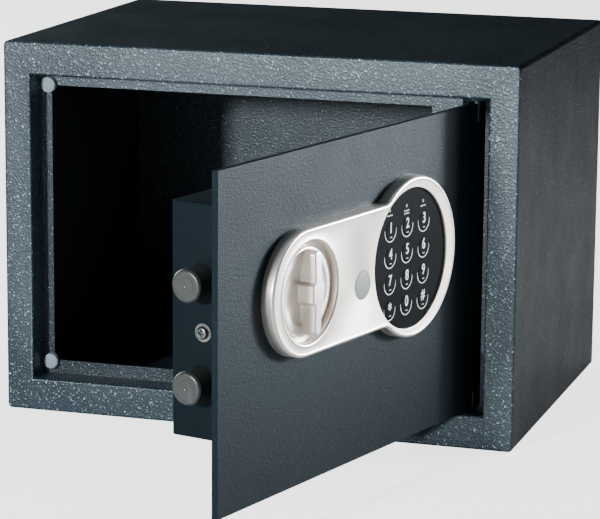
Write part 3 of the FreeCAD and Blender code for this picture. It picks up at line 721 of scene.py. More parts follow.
SCREW_STEEL = TurnedMetal("screw steel", (0.22, 0.22, 0.215), (0.38, 0.38, 0.37), roughness=0.28,
                          metallic=1.0, rings=30, depth=0.00001)
STEEL = PlatedMetal("blackened steel", (0.03, 0.03, 0.032), (0.07, 0.07, 0.072), roughness=0.45,
                    metallic=1.0)
ZINC = PlatedMetal("zinc plate", (0.17, 0.17, 0.16), (0.28, 0.275, 0.26), roughness=0.38,
                   metallic=1.0)
BRASS = PlatedMetal("lock brass", (0.56, 0.40, 0.18), (0.68, 0.52, 0.27), roughness=0.32,
                    metallic=1.0)
CIRCUIT = StripedFinish("circuit lacquer", (0.012, 0.09, 0.035), (0.03, 0.16, 0.07),
                        roughness=0.3, bands=260, depth=0.00003)
CABLE = StripedFinish("flat lead", (0.24, 0.24, 0.25), (0.36, 0.36, 0.37), roughness=0.5,
                      direction="X", bands=620)
COIL = StripedFinish("wound wire", (0.20, 0.07, 0.025), (0.34, 0.13, 0.05), roughness=0.35,
                     bands=700, depth=0.0002)
CELL_WRAP = StripedFinish("cell wrap", (0.015, 0.015, 0.017), (0.42, 0.26, 0.1), roughness=0.3,
                          bands=13, depth=0.00002)
INK = PrintedInk("white ink", (0.95, 0.95, 0.95), (0.7, 0.7, 0.7), roughness=0.5)
FLOOR_PAINT = MouldedPlastic("pale floor", (0.86, 0.86, 0.86), (0.82, 0.82, 0.82),
                             roughness=0.7, grain=400)

SLOT_FINISHES = {
    "cabinet_paint": CABINET_PAINT, "door_paint": DOOR_PAINT, "cover_paint": COVER_PAINT,
    "grey_rubber": RUBBER, "steel": STEEL, "zinc_steel": ZINC, "panel_plastic": PANEL_PLASTIC,
    "key_plastic": KEY_PLASTIC, "light_plastic": LAMP_PLASTIC, "cap_plastic": CAP_PLASTIC,
    "circuit": CIRCUIT, "cable_grey": CABLE, "coil": COIL, "black_plastic": BLACK_PLASTIC,
    "battery_wrap": CELL_WRAP, "lock_brass": BRASS, "red_plastic": RED_PLASTIC,
}


def finish_piece(piece: bpy.types.Object, body: str, finish: Finish) -> None:
    """Dress a new piece, put it on its body and report it."""
    piece.data.materials.append(finish.material())
    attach(piece, body)
    LOG.info("%s: %d faces, rides %s, %s", piece.name, len(piece.data.polygons), body, finish.name)


def dress_nodes() -> None:
    """Give every CAD node the finish of its slot in the record."""
    for row in frame["record"]["subparts"]:
        for place in frame["nodes"][row["node"]].material_slots:
            place.material = SLOT_FINISHES[row["material_slot"]].material()


# Cabinet ---------------------------------------------------------------------------------


@dataclass
class Cabinet:
    """Pieces of the cabinet that are finer than their CAD nodes."""

    buffer_dome: float = 0.5 * MM
    buffer_edge: float = 1.1 * MM

    def build(self) -> None:
        """Build and dress the cabinet's own pieces."""
        self.buffers()

    def buffers(self) -> None:
        """Two rubber buffers: lathed discs, one above the other, with a low dome each."""
        whole = extent_of(node_points("corner_bumpers"))
        radius = whole.size[0] / 2
        profile = domed_disc(radius, (whole.low[1], whole.high[1]), self.buffer_dome,
                             self.buffer_edge, 8)
        shell = Shell()
        for height in (whole.low[2] + radius, whole.high[2] - radius):
            shell.add(lathe(profile, (whole.centre[0], 0, height), Along.Y, 48), around=True)
        piece = shell.build("buffers")
        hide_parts("corner_bumpers")
        finish_piece(piece, "cabinet", RUBBER)


# Front panel -----------------------------------------------------------------------------


@dataclass
class FrontPanel:
    """Two-lobed panel: a small lobe round the knob, a large one round the keypad."""

    small_radius: float = 38 * MM
    waist_radius: float = 12 * MM
    draft: float = 0.15 * MM
    edge: float = 1.9 * MM
    lip: float = 0.3 * MM
    lip_width: float = 0.7 * MM
    rim: float = 1.5 * MM
    well_gap: float = 3.5 * MM
    well_round: float = 0.8 * MM
    dial_gap: float = 0.4 * MM
    spindle_gap: float = 0.5 * MM
    plate_gap: float = 0.05 * MM
    ledge_round: float = 0.6 * MM
    ledge_width: float = 0.9 * MM
    plug_gap: float = 0.15 * MM
    plug_round: float = 0.4 * MM
    box: Extent = field(init=False)

    def __post_init__(self) -> None:
        """Read the panel's place from its CAD node."""
        self.box = SWING.extent("escutcheon")

    @property
    def front(self) -> float:
        """Level of the lips, which stand foremost."""
        return self.box.low[1]

    @property
    def back(self) -> float:
        """Level of the door that the panel lies on."""
        return self.box.high[1]

    @property
    def flat(self) -> float:
        """Level of the flat face between the lips."""
        return self.front + self.lip

    def build(self) -> None:
        """Build the panel as one closed shell on the shut door and turn it open."""
        top = self.draft + self.edge
        wall = np.concatenate([
            line((0, self.back), (self.draft, self.front + self.edge)),
            bow((top, self.front + self.edge), (self.edge, self.edge), 180, 270)[1:],
            self.crest(top)[1:],
        ])
        shell = Shell().add(self.outline().carry(wall), around=True)
        self.knob_well(shell)
        self.keypad_recess(shell)
        self.keyhole(shell)
        piece = shell.build("front_panel", SWING.open, flats=(self.flat, self.back))
        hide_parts("escutcheon")
        finish_piece(piece, "door", PANEL_PLASTIC)

    def outline(self) -> Outline:
        """Upper half of the outline, small arc, straight, waist arc and large arc, then its mirror.

        The waist arc touches the straight and the large arc: its centre is waist + small radius
        above the middle, and waist + large radius from the large lobe's centre.
        """
        small, waist = self.small_radius, self.waist_radius
        large = self.box.size[2] / 2
        small_x, large_x = self.box.low[0] + small, self.box.high[0] - large
        rise = small + waist
        reach = math.sqrt((large + waist) ** 2 - rise ** 2)
        waist_x = large_x - reach
        meet = math.degrees(math.atan2(rise, reach))
        straight = np.linspace(small_x, waist_x, 24)[1:-1]
        upper = np.concatenate([
            bow((small_x, 0), (small, small), 180, 90, 40),
            np.stack([straight, np.full_like(straight, small)], axis=1),
            bow((waist_x, rise), (waist, waist), -90, -meet, 12),
            bow((large_x, 0), (large, large), 180 - meet, 0, 64)[1:],
        ])
        lower = upper[-2:0:-1] * (1, -1)
        return outline_through(np.concatenate([upper, lower]) + (0, self.box.centre[2]))

    def crest(self, start: float) -> Array:
        """Profile of a lip's inner side: eases from the front to the flat over the lip's width."""
        share = np.linspace(0, 1, 6)
        level = self.front + (self.flat - self.front) * ease(share)
        return np.stack([start + self.lip_width * share, level], axis=1)

    def mouth(self, radius: float, edge: float, steps: int = 8) -> Array:
        """Profile from the flat face over a rounded edge to a hole's wall."""
        return np.concatenate([
            line((radius + edge, self.flat)),
            bow((radius + edge, self.flat + edge), (edge, edge), 270, 180, steps)[1:],
        ])

    def knob_well(self, shell: Shell) -> None:
        """Well that the dial turns in: lip, wall, rounded foot, floor and the spindle's bore."""
        knob = SWING.extent("knob")
        radius = knob.size[0] / 2 + self.well_gap
        floor = knob.high[1] + self.dial_gap
        bore = SWING.extent("spindle").size[0] / 2 + self.spindle_gap
        rim, foot = self.rim, self.well_round
        profile = np.concatenate([
            self.crest(radius + rim)[::-1],
            bow((radius + rim, self.front + rim), (rim, rim), 270, 180)[1:],
            bow((radius - foot, floor - foot), (foot, foot), 0, 90, 5),
            line((bore, floor), (bore, self.back)),
        ])
        shell.add(lathe(profile, knob.hub, Along.Y, 96), around=True)

    def keypad_recess(self, shell: Shell) -> None:
        """Round recess: a small rounded edge, the wall, the ledge and the opening behind it."""
        plate = SWING.extent("keypad_plate")
        radius = plate.size[0] / 2 + self.plate_gap
        inner, ledge = radius - self.ledge_width, plate.high[1]
        profile = np.concatenate([
            self.mouth(radius, self.ledge_round),
            line((radius, ledge), (inner, ledge), (inner, self.back)),
        ])
        shell.add(lathe(profile, plate.hub, Along.Y, 128), around=True)

    def keyhole(self, shell: Shell) -> None:
        """Round hole for the plug over the emergency lock."""
        plug = SWING.extent("keyhole_cap")
        radius = plug.size[0] / 2 + self.plug_gap
        profile = np.concatenate([self.mouth(radius, self.plug_round, 5),
                                  line((radius, self.back))])
        shell.add(lathe(profile, plug.hub, Along.Y, 48), around=True)


@dataclass
class Knob:
    """Round dial with two scooped halves and a grip bar with a hub between them."""

    face_drop: float = 3.4 * MM
    scoop_radius: float = 19 * MM
    scoop_depth: float = 1.5 * MM
    dial_edge: float = 1.1 * MM
    face_rows: int = 40
    bar_half: float = 3.9 * MM
    bar_short: float = 1.2 * MM
    bar_edge: float = 1.3 * MM
    bar_draft: float = 0.25 * MM
    bar_root: float = 1.8 * MM
    root_flare: float = 0.5 * MM
    root_rise: float = 0.3 * MM
    end_half: float = 0.4 * MM
    bar_steps: int = 81
    hub_extra: float = 2.4 * MM
    hub_half: float = 6.0 * MM
    hub_blend: float = 0.9 * MM
    crown: float = 0.5 * MM
    box: Extent = field(init=False)
    radius: float = field(init=False)
    face: float = field(init=False)

    def __post_init__(self) -> None:
        """Read the dial's place from its CAD node, and its face's level from the panel."""
        self.box = SWING.extent("knob")
        self.radius = self.box.size[0] / 2
        self.face = SWING.extent("escutcheon").low[1] + self.face_drop

    def build(self) -> None:
        """Build the dial and the grip."""
        self.dial()
        self.grip()

    def dial(self) -> None:
        """Dial: flat disc whose two halves are scooped.

        Each scoop is depth * sqrt(1 - (distance / radius)^2) about a centre at the bar's side.
        """
        edge, rows, hub = self.dial_edge, self.face_rows, self.box.hub
        profile = np.concatenate([
            np.stack([np.linspace(0, self.radius - edge, rows), np.full(rows, self.face)], axis=1),
            bow((self.radius - edge, self.face + edge), (edge, edge), -90, 0, 7)[1:],
            line((self.radius, self.box.high[1]), (0, self.box.high[1])),
        ])
        grid = lathe(profile, hub, Along.Y, 144)
        across = np.abs(grid[..., 0] - hub[0])
        distance = np.hypot(across - self.bar_half, grid[..., 2] - hub[2])
        bowl = np.clip(1 - (distance / self.scoop_radius) ** 2, 0, 1)
        front = np.arange(len(profile))[:, None] < rows
        grid[..., 1] += np.where(front & (across > 0.5 * self.bar_half),
                                 self.scoop_depth * np.sqrt(bowl), 0)
        piece = Shell().add(grid, around=True).build("knob_dial", SWING.open)
        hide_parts("knob")
        finish_piece(piece, "knob", PANEL_PLASTIC)

    def grip(self) -> None:
        """Grip bar: its half width swells at the hub, its ends are round, its front is crowned.

        Half width = (bar + hub swelling) * sqrt(1 - end^2.6), where end runs from 0 to 1 over
        the last stretch of the bar; the crown falls back by crown * (height / half)^2.
        """
        tip = self.box.low[1]
        half = self.radius - self.bar_short
        height = half * np.sin(np.linspace(-math.pi / 2, math.pi / 2, self.bar_steps))
        hub = ease((self.hub_half + self.hub_blend - np.abs(height)) / (2 * self.hub_blend))
        end = np.clip((np.abs(height) - (half - self.bar_half)) / self.bar_half, 0, 1)
        width = (self.bar_half + self.hub_extra * hub) * np.sqrt(np.clip(1 - end ** 2.6, 0, 1))
        width[[0, -1]] = self.end_half
        right = np.stack([width, height], axis=1)
        loop = np.concatenate([right, right[::-1] * (-1, 1)]) + self.box.hub[[0, 2]]
        edge, draft = self.bar_edge, self.bar_draft
        wall = np.concatenate([
            line((-self.root_flare, self.face + self.bar_root),
                 (0, self.face - self.root_rise), (draft, tip + edge)),
            bow((draft + edge, tip + edge), (edge, edge), 180, 270)[1:],
        ])
        sides = outline_through(loop).carry(wall)
        steps = self.bar_steps
        top_right, top_left = sides[-1, :steps], sides[-1, :steps - 1:-1]
        share = np.linspace(0, 1, 9)[None, :, None]
        top = top_right[:, None] * (1 - share) + top_left[:, None] * share
        sink = self.crown * (height / half)[None, :] ** 2
        rise = ((self.face - sides[..., 1]) / (self.face - tip)).clip(0, 1)
        sides[..., 1] += np.concatenate([sink, sink[:, ::-1]], axis=1) * rise
        top[..., 1] += sink[0][:, None]
        shell = Shell().add(sides, around=True).add(top)
        piece = shell.build("knob_grip", SWING.open, flats=(self.face + self.bar_root,))
        finish_piece(piece, "knob", PANEL_PLASTIC)


@dataclass
class KeyholePlug:
    """Grey plug that hides the emergency lock: a low dome with a rounded edge."""

    edge: float = 0.6 * MM
    dome: float = 0.35 * MM

    def build(self) -> None:
        """Build the plug as a lathed disc."""
        box = SWING.extent("keyhole_cap")
        profile = domed_disc(box.size[0] / 2, (box.low[1], box.high[1]), self.dome, self.edge, 9)
        grid = lathe(profile, box.hub, Along.Y, 64)
        piece = Shell().add(grid, around=True).build("keyhole_plug", SWING.open)
        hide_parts("keyhole_cap")
        finish_piece(piece, "keyhole_cap", CAP_PLASTIC)


KEY_MARKS = {"key_1": "1", "key_2": "2", "key_3": "3", "key_4": "4", "key_5": "5", "key_6": "6",
             "key_7": "7", "key_8": "8", "key_9": "9", "key_star": "*", "key_0": "0",
             "key_hash": "#"}


@dataclass
class KeypadPrint:
    """White print of the keypad: a figure on each key, an arc round it, marks under the lamps."""

    proud: float = 0.05 * MM
    letter_height: float = 0.72
    letter_fattening: float = 0.014
    letter_extrude: float = 0.004
    short_mark: float = 0.6
    short_mark_growth: float = 1.15
    figure_height: float = 6.6 * MM
    figure_lift: float = 2.0 * MM
    figure_squeeze: float = 0.86
    underline_drop: float = 3.9 * MM
    underline_half: float = 1.4 * MM
    underline_half_width: float = 0.22 * MM
    arc_radius: float = 6.7 * MM
    arc_half_width: float = 0.27 * MM
    arc_span: float = 205
    dash_length: float = 1.0 * MM
    dash_pitch: float = 1.6 * MM
    dash_half_width: float = 0.42 * MM
    row_drop: float = 3.0 * MM
    row_pitch: float = 1.7 * MM

    def build(self) -> None:
        """Build the figures, the arcs and the lamp marks."""
        arcs = Shell()
        for node, figure in KEY_MARKS.items():
            box = SWING.extent(node)
            self.figure(node, figure, box)
            self.arc(arcs, box)
        piece = arcs.build("key_arcs", SWING.open)
        finish_piece(piece, "door", INK)
        self.lamp_marks()

    def figure(self, node: str, figure: str, box: Extent) -> None:
        """One key's figure with the small bar under it, as a thin raised print."""
        letter = self.letter(node, figure, box)
        share = np.linspace(-1, 1, 9)
        path = np.stack([share * self.underline_half + box.centre[0],
                         np.full(9, box.centre[2] - self.underline_drop)], axis=1)
        width = self.underline_half_width * np.sqrt(1 - share ** 4)
        underline = self.stroke(path, width, box.low[1])
        piece = Shell().add(underline, around=True).build(node + "_figure")
        work = bmesh.new()
        work.from_mesh(piece.data)
        work.from_mesh(letter)
        work.to_mesh(piece.data)
        work.free()
        bpy.data.meshes.remove(letter)
        move_points(piece.data, SWING.open)
        finish_piece(piece, node, INK)

    def letter(self, node: str, figure: str, box: Extent) -> bpy.types.Mesh:
        """Mesh of a figure, made from text, on the face of its key on the shut door.

        Args:
            node: the key's CAD node.
            figure: the character.
            box: the key's box on the shut door.

        Returns:
            Mesh whose points are the text's, centred, scaled and squeezed across.
        """
        text = bpy.data.curves.new(node, "FONT")
        text.body = figure
        text.align_x = "CENTER"
        text.size = 1.0
        text.offset = self.letter_fattening
        text.extrude = self.letter_extrude
        holder = link(bpy.data.objects.new(node + "_text", text))
        mesh = bpy.data.meshes.new_from_object(holder)
        bpy.data.objects.remove(holder)

        def place(points: Array) -> Array:
            """Points of the text, moved from the text's plane to the key's face."""
            across, upwards, out = points.T
            tall = upwards.max() - upwards.min() > self.short_mark
            scale = self.figure_height / self.letter_height
            scale *= 1 if tall else self.short_mark_growth
            across = across - (across.max() + across.min()) / 2
            upwards = upwards - (upwards.max() + upwards.min()) / 2
            x = box.centre[0] + across * scale * self.figure_squeeze
            y = box.low[1] - self.proud * (0.5 + out / (2 * self.letter_extrude))
            z = box.centre[2] + self.figure_lift + upwards * scale
            return np.stack([x, y, z], axis=1)

        move_points(mesh, place)
        return mesh

    def stroke(self, path: Array, half_width: Array, level: float) -> Array:
        """Thin raised stroke: a flat four-sided section carried along a path, closed at its ends.

        Args:
            path: rows of (x, z).
            half_width: half the stroke's width at each row, 0 at both ends.
            level: y of the surface that is printed on.

        Returns:
            Grid of path rows by four by 3, whose last column meets the first.
        """
        tangent = np.gradient(path, axis=0)
        tangent /= np.linalg.norm(tangent, axis=1, keepdims=True)
        side = np.stack([tangent[:, 1], -tangent[:, 0]], axis=1) * half_width[:, None]
        thin = np.where(half_width > 0, self.proud, 0)
        grid = np.empty((len(path), 4, 3))
        for column, (sign, proud) in enumerate(((1, -0.5), (1, 1), (-1, 1), (-1, -0.5))):
            grid[:, column, [0, 2]] = path + sign * side
            grid[:, column, 1] = level - proud * thin
        return grid

    def arc(self, shell: Shell, box: Extent) -> None:
        """Arc round the lower side of a key, full in the middle and thin at its ends."""
        steps = 41
        half = self.arc_span / 2
        path = bow(box.centre[[0, 2]], (self.arc_radius, self.arc_radius), 270 - half, 270 + half,
                   steps)
        swell = np.sin(math.pi * np.linspace(0, 1, steps))
        width = self.arc_half_width * np.sqrt(np.clip(swell * 1.6, 0, 1))
        width[[0, -1]] = 0
        level = SWING.extent("keypad_plate").low[1]
        shell.add(self.stroke(path, width, level), around=True)

    def lamp_marks(self) -> None:
        """A short row of dashes under each lamp, in place of its caption."""
        lamps = SWING.extent("status_lights")
        level = SWING.extent("keypad_plate").low[1]
        radius = lamps.size[2] / 2
        width = self.dash_half_width * np.array([0, 0.8, 1, 1, 1, 0.8, 0])
        shell = Shell()
        for column in range(3):
            x = lamps.low[0] + radius + column * (lamps.size[0] / 2 - radius)
            for row in range(2 if column == 1 else 1):
                z = lamps.centre[2] - self.row_drop - row * self.row_pitch
                for dash in range(4):
                    start = x + (dash - 1.8) * self.dash_pitch
                    path = np.stack([np.linspace(start, start + self.dash_length, len(width)),
                                     np.full(len(width), z)], axis=1)
                    shell.add(self.stroke(path, width, level), around=True)
        finish_piece(shell.build("lamp_marks", SWING.open), "door", INK)


# Lock ------------------------------------------------------------------------------------


@dataclass
class Lock:
    """Visible pieces of the lock box: the two bolts, the screws and the battery lid."""

    bolt_round: float = 0.35 * MM
    bolt_chamfer: float = 1.3 * MM
    bolt_collar: float = 2.4 * MM
    screw_radius: float = 4 * MM
    screw_shank: float = 2 * MM
    recess_depth: float = 1.5 * MM
    head_rows: int = 16
    lid_edge: float = 0.9 * MM
    lid_corner: float = 3 * MM
    rib_rise: float = 0.7 * MM
    rib_count: int = 7
    rib_start: float = 7 * MM
    rib_pitch: float = 2.4 * MM
    rib_half: float = 0.6 * MM
    rib_half_height: float = 14 * MM
    rib_corner: float = 0.55 * MM
    rib_edge: float = 0.3 * MM
    rib_root: float = 0.2 * MM
    button_edge: float = 0.8 * MM

    def build(self) -> None:
        """Build the lock's pieces."""
        self.bolts()
        self.side_screw()
        self.cover_screws()
        self.battery_lid()
        self.reset_button()

    def bolts(self) -> None:
        """Two turned bolts: faced end with a centre mark, chamfer with soft corners, shank."""
        box = SWING.extent("locking_bolts")
        radius = box.size[1] / 2
        tip, root = box.low[0], box.high[0]
        chamfer, soft = self.bolt_chamfer, self.bolt_round
        face = np.linspace(1.2 * MM, radius - chamfer - soft, 12)
        shank = np.linspace(tip + self.bolt_collar, root, 10)
        profile = np.concatenate([
            line((0, tip + 0.5 * MM), (0.7 * MM, tip + 0.05 * MM), (0.9 * MM, tip)),
            np.stack([face, np.full_like(face, tip)], axis=1),
            line((radius - chamfer, tip + 0.1 * MM),
                 (radius - soft * 0.6, tip + chamfer - 0.1 * MM),
                 (radius, tip + chamfer + soft)),
            np.stack([np.full_like(shank, radius), shank], axis=1),
            line((0, root)),
        ])
        shell = Shell()
        for height in (box.low[2] + radius, box.high[2] - radius):
            shell.add(lathe(profile, (0, box.centre[1], height), Along.X, 72), around=True)
        piece = shell.build("bolt_bars", SWING.open)
        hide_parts("locking_bolts")
        finish_piece(piece, "bolts", BOLT_STEEL)

    def screw(self, radius: float, height: float, reach: float) -> Array:
        """Pan-head screw with a cross recess, on its axis with the head's seat at 0.

        The head is a rounded disc; the recess lowers it by depth * (1 - distance / arm) inside
        two crossed bars.

        Args:
            radius: radius of the head.
            height: height of the head.
            reach: length of the shank.

        Returns:
            Grid for Shell.add, with distances above the seat negative.
        """
        shank, flat = self.screw_shank, radius * 0.62
        face = np.linspace(0, flat, self.head_rows)
        profile = np.concatenate([
            np.stack([face, np.full_like(face, -height)], axis=1),
            bow((flat, -height * 0.35), (radius * 0.38, height * 0.65), -90, 0, 8)[1:],
            line((radius, 0), (shank, 0), (shank, reach - shank), (0, reach)),
        ])
        grid = lathe(profile, (0, 0, 0), Along.Z, 64)
        arm, bar = radius * 0.6, radius * 0.15
        across, upwards = np.abs(grid[..., 0]), np.abs(grid[..., 1])
        cross = ease((bar * 1.3 - np.minimum(across, upwards)) / (bar * 0.6))
        taper = np.clip(1 - np.hypot(across, upwards) / arm, 0, 1)
        front = np.arange(len(profile))[:, None] < self.head_rows
        grid[..., 2] += np.where(front, self.recess_depth * cross * ease(taper * 2.2), 0)
        return grid

    def side_screw(self) -> None:
        """Screw in the lock box's side, between the bolts; its washer is the CAD node."""
        box = SWING.extent("cover_side_screw")
        seat = SWING.extent("cover_side_washer").low[0]
        grid = self.screw(box.size[1] / 2, seat - box.low[0], box.high[0] - seat)
        grid = grid[..., [2, 0, 1]] + (seat, box.centre[1], box.centre[2])
        piece = Shell().add(grid, around=True).build("side_screw", SWING.open)
        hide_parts("cover_side_screw")
        finish_piece(piece, "door", SCREW_STEEL)

    def cover_screws(self) -> None:
        """Four screws in the back of the lock box."""
        box = SWING.extent("cover_screws")
        seat = SWING.extent("lock_cover").high[1]
        radius = self.screw_radius
        shell = Shell()
        for x in (box.low[0] + radius, box.high[0] - radius):
            for z in (box.low[2] + radius, box.high[2] - radius):
                grid = self.screw(radius, box.high[1] - seat, seat - box.low[1])
                shell.add(grid[..., [0, 2, 1]] * (1, -1, 1) + (x, seat, z), around=True)
        piece = shell.build("back_screws", SWING.open)
        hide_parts("cover_screws")
        finish_piece(piece, "door", SCREW_STEEL)

    def battery_lid(self) -> None:
        """Sliding lid over the cells: rounded plate with a row of grip ribs at its end."""
        box = SWING.extent("battery_cover")
        inner, outer = box.low[1], box.high[1]
        plate_face = outer - self.rib_rise
        root = plate_face - self.rib_root
        outline = rounded_box(box.low[[0, 2]], box.high[[0, 2]], self.lid_corner)
        shell = Shell().add(outline.carry(self.wall(inner, plate_face, self.lid_edge, 6)),
                            around=True)
        half = np.array([self.rib_half, self.rib_half_height])
        for index in range(self.rib_count):
            x = box.low[0] + self.rib_start + self.rib_pitch * index
            middle = np.array([x, box.centre[2]])
            rib = rounded_box(middle - half, middle + half, self.rib_corner, 4)
            shell.add(rib.carry(self.wall(root, outer, self.rib_edge, 4)), around=True)
        piece = shell.build("battery_lid", SWING.open, flats=(inner, plate_face, root, outer))
        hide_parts("battery_cover")
        finish_piece(piece, "battery_cover", BLACK_PLASTIC)

    def wall(self, low: float, high: float, edge: float, steps: int) -> Array:
        """Profile of a wall from one level to another that ends in a rounded edge."""
        return np.concatenate([
            line((0, low), (0, high - edge)),
            bow((edge, high - edge), (edge, edge), 180, 90, steps)[1:],
        ])

    def reset_button(self) -> None:
        """Domed red button in the back of the lock box."""
        box = SWING.extent("reset_button")
        radius, tip, edge = box.size[0] / 2, box.high[1], self.button_edge
        profile = np.concatenate([
            line((0, box.low[1]), (radius, box.low[1]), (radius, tip - edge)),
            bow((radius - edge, tip - edge), (edge, edge), 0, 75, 6)[1:],
            line((0, tip)),
        ])
        grid = lathe(profile, box.hub, Along.Y, 40)
        piece = Shell().add(grid, around=True).build("reset_knob", SWING.open)
        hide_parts("reset_button")
        finish_piece(piece, "reset_button", RED_PLASTIC)


# Sheet metal -----------------------------------------------------------------------------


@dataclass(frozen=True)
class PressedPart:
    """Sheet-metal part of the CAD frame, shown with its sharp edges rounded by a bevel."""

    node: str
    name: str
    edge_width: float
    body: str
    slot: str
    finish: Finish
    segments: int = 3

    def build(self) -> None:
        """Build the part from a merged copy of its node and dress it."""
        mesh = frame["nodes"][self.node].data.copy()
        mesh.name = self.name
        mesh.materials.clear()
        work = bmesh.new()
        work.from_mesh(mesh)
        bmesh.ops.remove_doubles(work, verts=work.verts, dist=FLAT_TOLERANCE)
        bmesh.ops.dissolve_limit(work, angle_limit=FLAT_ANGLE, verts=work.verts,
                                 edges=work.edges)
        store_shaded(work, mesh)
        piece = link(bpy.data.objects.new(self.name, mesh))
        bevel = piece.modifiers.new("rounded edges", "BEVEL")
        bevel.width = self.edge_width
        bevel.segments = self.segments
        bevel.limit_method = "ANGLE"
        bevel.angle_limit = SHARP_ANGLE
        bevel.harden_normals = True
        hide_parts(self.node)
        finish_piece(piece, self.body, self.finish)


PRESSED_PARTS = (
    PressedPart("door_leaf", "door_plate", 0.5 * MM, "door", "door_paint", DOOR_PAINT),
    PressedPart("lock_cover", "lock_box", 0.6 * MM, "door", "cover_paint", COVER_PAINT),
    PressedPart("front_frame", "frame_plate", 0.9 * MM, "cabinet", "cabinet_paint", CABINET_PAINT),
    PressedPart("cabinet_shell", "cabinet_body", 0.8 * MM, "cabinet", "cabinet_paint",
                CABINET_PAINT),
)


# Studio ----------------------------------------------------------------------------------


class Reach(Enum):
    """Which pieces a light falls on, out of those that it names."""

    ONLY = "INCLUDE"
    ALL_BUT = "EXCLUDE"


NEUTRAL: Colour = (0.97, 0.98, 1)
COOL: Colour = (0.86, 0.95, 1)
COLD: Colour = (0.85, 0.95, 1)
BLUE: Colour = (0.8, 0.93, 1)
CABINET_PIECES = ("cabinet_shell", "back_panel", "stop_strip_left", "stop_strip_top",
                  "stop_strip_bottom", "hinge_stop_plate", "frame_plate", "cabinet_body")
RAIL_PIECES = ("frame_plate", "stop_strip_top", "hinge_stop_plate")


@dataclass(frozen=True)
class Lamp:
    """A soft square light, or a soft spot where it has a cone, in degrees.

    Its size is the square's side or the spot's radius. Its pieces are those, new or of the CAD
    frame, that its reach is about; with none, it falls on everything.
    """

    name: str
    place: Point
    target: Point
    size: float
    power: float
    colour: Colour
    cone: float = 0.0
    pieces: tuple[str, ...] = ()
    reach: Reach = Reach.ONLY

    def build(self) -> None:
        """Make the light, turn it to its target and set its reach."""
        light = bpy.data.lights.new(self.name, "SPOT" if self.cone else "AREA")
        light.energy, light.color = self.power, self.colour
        if self.cone:
            light.shadow_soft_size = self.size
            light.spot_size, light.spot_blend = math.radians(self.cone), 1.0
        else:
            light.shape, light.size = "SQUARE", self.size
        holder = link(bpy.data.objects.new(self.name, light))
        heading = Vector(self.target) - Vector(self.place)
        holder.location = self.place
        holder.rotation_euler = heading.to_track_quat("-Z", "Y").to_euler()
        holder.visible_camera = False
        if self.pieces:
            self.set_reach(holder)

    def set_reach(self, holder: bpy.types.Object) -> None:
        """Keep the light to its pieces, or off them."""
        group = bpy.data.collections.new(self.name + " pieces")
        for name in self.pieces:
            group.objects.link(frame["nodes"].get(name) or bpy.data.objects[name])
        for member in group.collection_objects:
            member.light_linking.link_state = self.reach.value
        holder.light_linking.receiver_collection = group


LAMPS = (
    Lamp("hinge_side_key", (1.37, 0.74, 0.36), (0.1, -0.25, 0.12), 0.8, 23, NEUTRAL,
         pieces=CABINET_PIECES, reach=Reach.ALL_BUT),
    Lamp("front_key", (-0.6, -2.3, 0.65), (0, -0.1, 0.16), 0.14, 75, COOL),
    Lamp("rail_key", (0.3, -2.2, 0.55), (0.1, -0.1, 0.16), 0.14, 60, COOL, pieces=RAIL_PIECES),
    Lamp("back_fill", (-1.9, 1.2, 0.8), (0, 0, 0.1), 1.2, 34, COLD),
    Lamp("high_fill", (0.3, -0.2, 2.4), (0, 0, 0.1), 1.0, 2.5, COLD),
    Lamp("leaf_spot", (1.25, 0.68, 0.4), (0.09, -0.33, 0.235), 0.2, 600, BLUE, cone=11.5,
         pieces=CABINET_PIECES, reach=Reach.ALL_BUT),
)


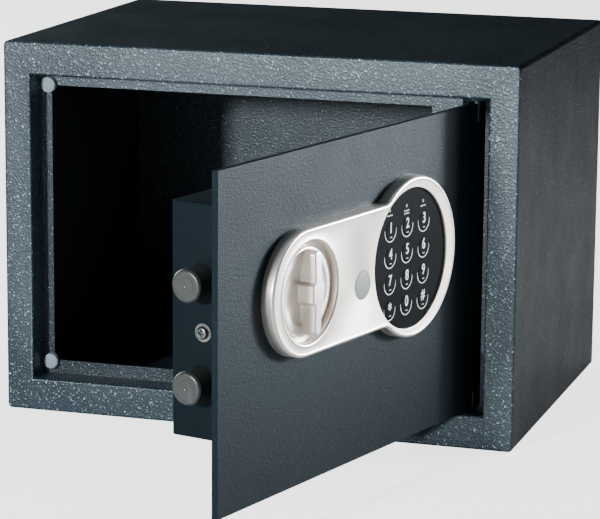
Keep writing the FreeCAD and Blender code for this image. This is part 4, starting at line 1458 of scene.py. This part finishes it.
@dataclass
class Studio:
    """Plain pale floor, soft lights, pale surroundings and the camera."""

    azimuth: float = 17.37
    elevation: float = 11.90
    roll: float = 0.46
    distance: float = 1.863
    target: Point = (0.0315, -0.125, 0.1169)
    focal_length: float = 172.5
    sensor_width: float = 36
    floor_half: float = 6.0
    floor_drop: float = 0.2 * MM
    floor_glow: float = 2.4
    sky_seen: float = 5.0
    sky_light: float = 0.045
    sky_tint: Colour = (0.75, 0.9, 1)

    def build(self) -> None:
        """Set up the floor, the lights, the surroundings and the camera."""
        self.floor()
        for lamp in LAMPS:
            lamp.build()
        self.surroundings()
        self.camera()

    def floor(self) -> None:
        """Wide pale floor with a faint grain, which looks brighter than it is as a light."""
        side = np.linspace(-self.floor_half, self.floor_half, 9)
        x, y = np.meshgrid(side, side)
        flat = np.stack([x, y, np.full_like(x, -self.floor_drop)], axis=-1)
        piece = Shell().add(flat).build("floor")
        made = FLOOR_PAINT.material()
        graph = Graph(made.node_tree)
        shader = made.node_tree.nodes["Principled BSDF"]
        seen = graph.node("ShaderNodeLightPath").outputs["Is Camera Ray"]
        graph.feed(shader.inputs["Emission Color"], graph.mix(seen, (0, 0, 0), (1, 1, 1)))
        shader.inputs["Emission Strength"].default_value = self.floor_glow
        piece.data.materials.append(made)

    def surroundings(self) -> None:
        """Even pale surroundings, dimmer for light than for the eye."""
        world = bpy.data.worlds.new("studio")
        bpy.context.scene.world = world
        world.use_nodes = True
        graph = Graph(world.node_tree)
        seen = world.node_tree.nodes["Background"]
        soft = graph.node("ShaderNodeBackground")
        for sky, colour, strength in ((seen, (1, 1, 1), self.sky_seen),
                                      (soft, self.sky_tint, self.sky_light)):
            sky.inputs["Color"].default_value = (*colour, 1)
            sky.inputs["Strength"].default_value = strength
        choose = graph.node("ShaderNodeMixShader")
        graph.feed(choose.inputs[0], graph.node("ShaderNodeLightPath").outputs["Is Camera Ray"])
        graph.feed(choose.inputs[1], soft.outputs[0])
        graph.feed(choose.inputs[2], seen.outputs[0])
        graph.feed(world.node_tree.nodes["World Output"].inputs["Surface"], choose.outputs[0])

    def camera(self) -> None:
        """Camera that looks at the target from an azimuth and an elevation, slightly rolled."""
        azimuth, elevation, roll = (math.radians(angle) for angle in
                                    (self.azimuth, self.elevation, self.roll))
        forward = Vector((-math.sin(azimuth) * math.cos(elevation),
                          math.cos(azimuth) * math.cos(elevation), -math.sin(elevation)))
        level = forward.cross(Vector((0, 0, 1))).normalized()
        upright = level.cross(forward)
        right = level * math.cos(roll) + upright * math.sin(roll)
        up = upright * math.cos(roll) - level * math.sin(roll)
        holder = link(bpy.data.objects.new("camera", bpy.data.cameras.new("camera")))
        holder.data.lens = self.focal_length
        holder.data.sensor_width = self.sensor_width
        place = Vector(self.target) - forward * self.distance
        turn = Matrix((right, up, -forward)).transposed().to_4x4()
        holder.matrix_world = Matrix.Translation(place) @ turn
        bpy.context.scene.camera = holder


def main() -> None:
    """Dress the frame, build each sub-assembly in order and set up the studio round them."""
    logging.basicConfig(level=logging.INFO, format="%(name)s: %(message)s")
    dress_nodes()
    for assembly in (Cabinet(), FrontPanel(), Knob(), KeyholePlug(), KeypadPrint(), Lock(),
                     *PRESSED_PARTS, Studio()):
        assembly.build()


if __name__ == "__main__":
    main()
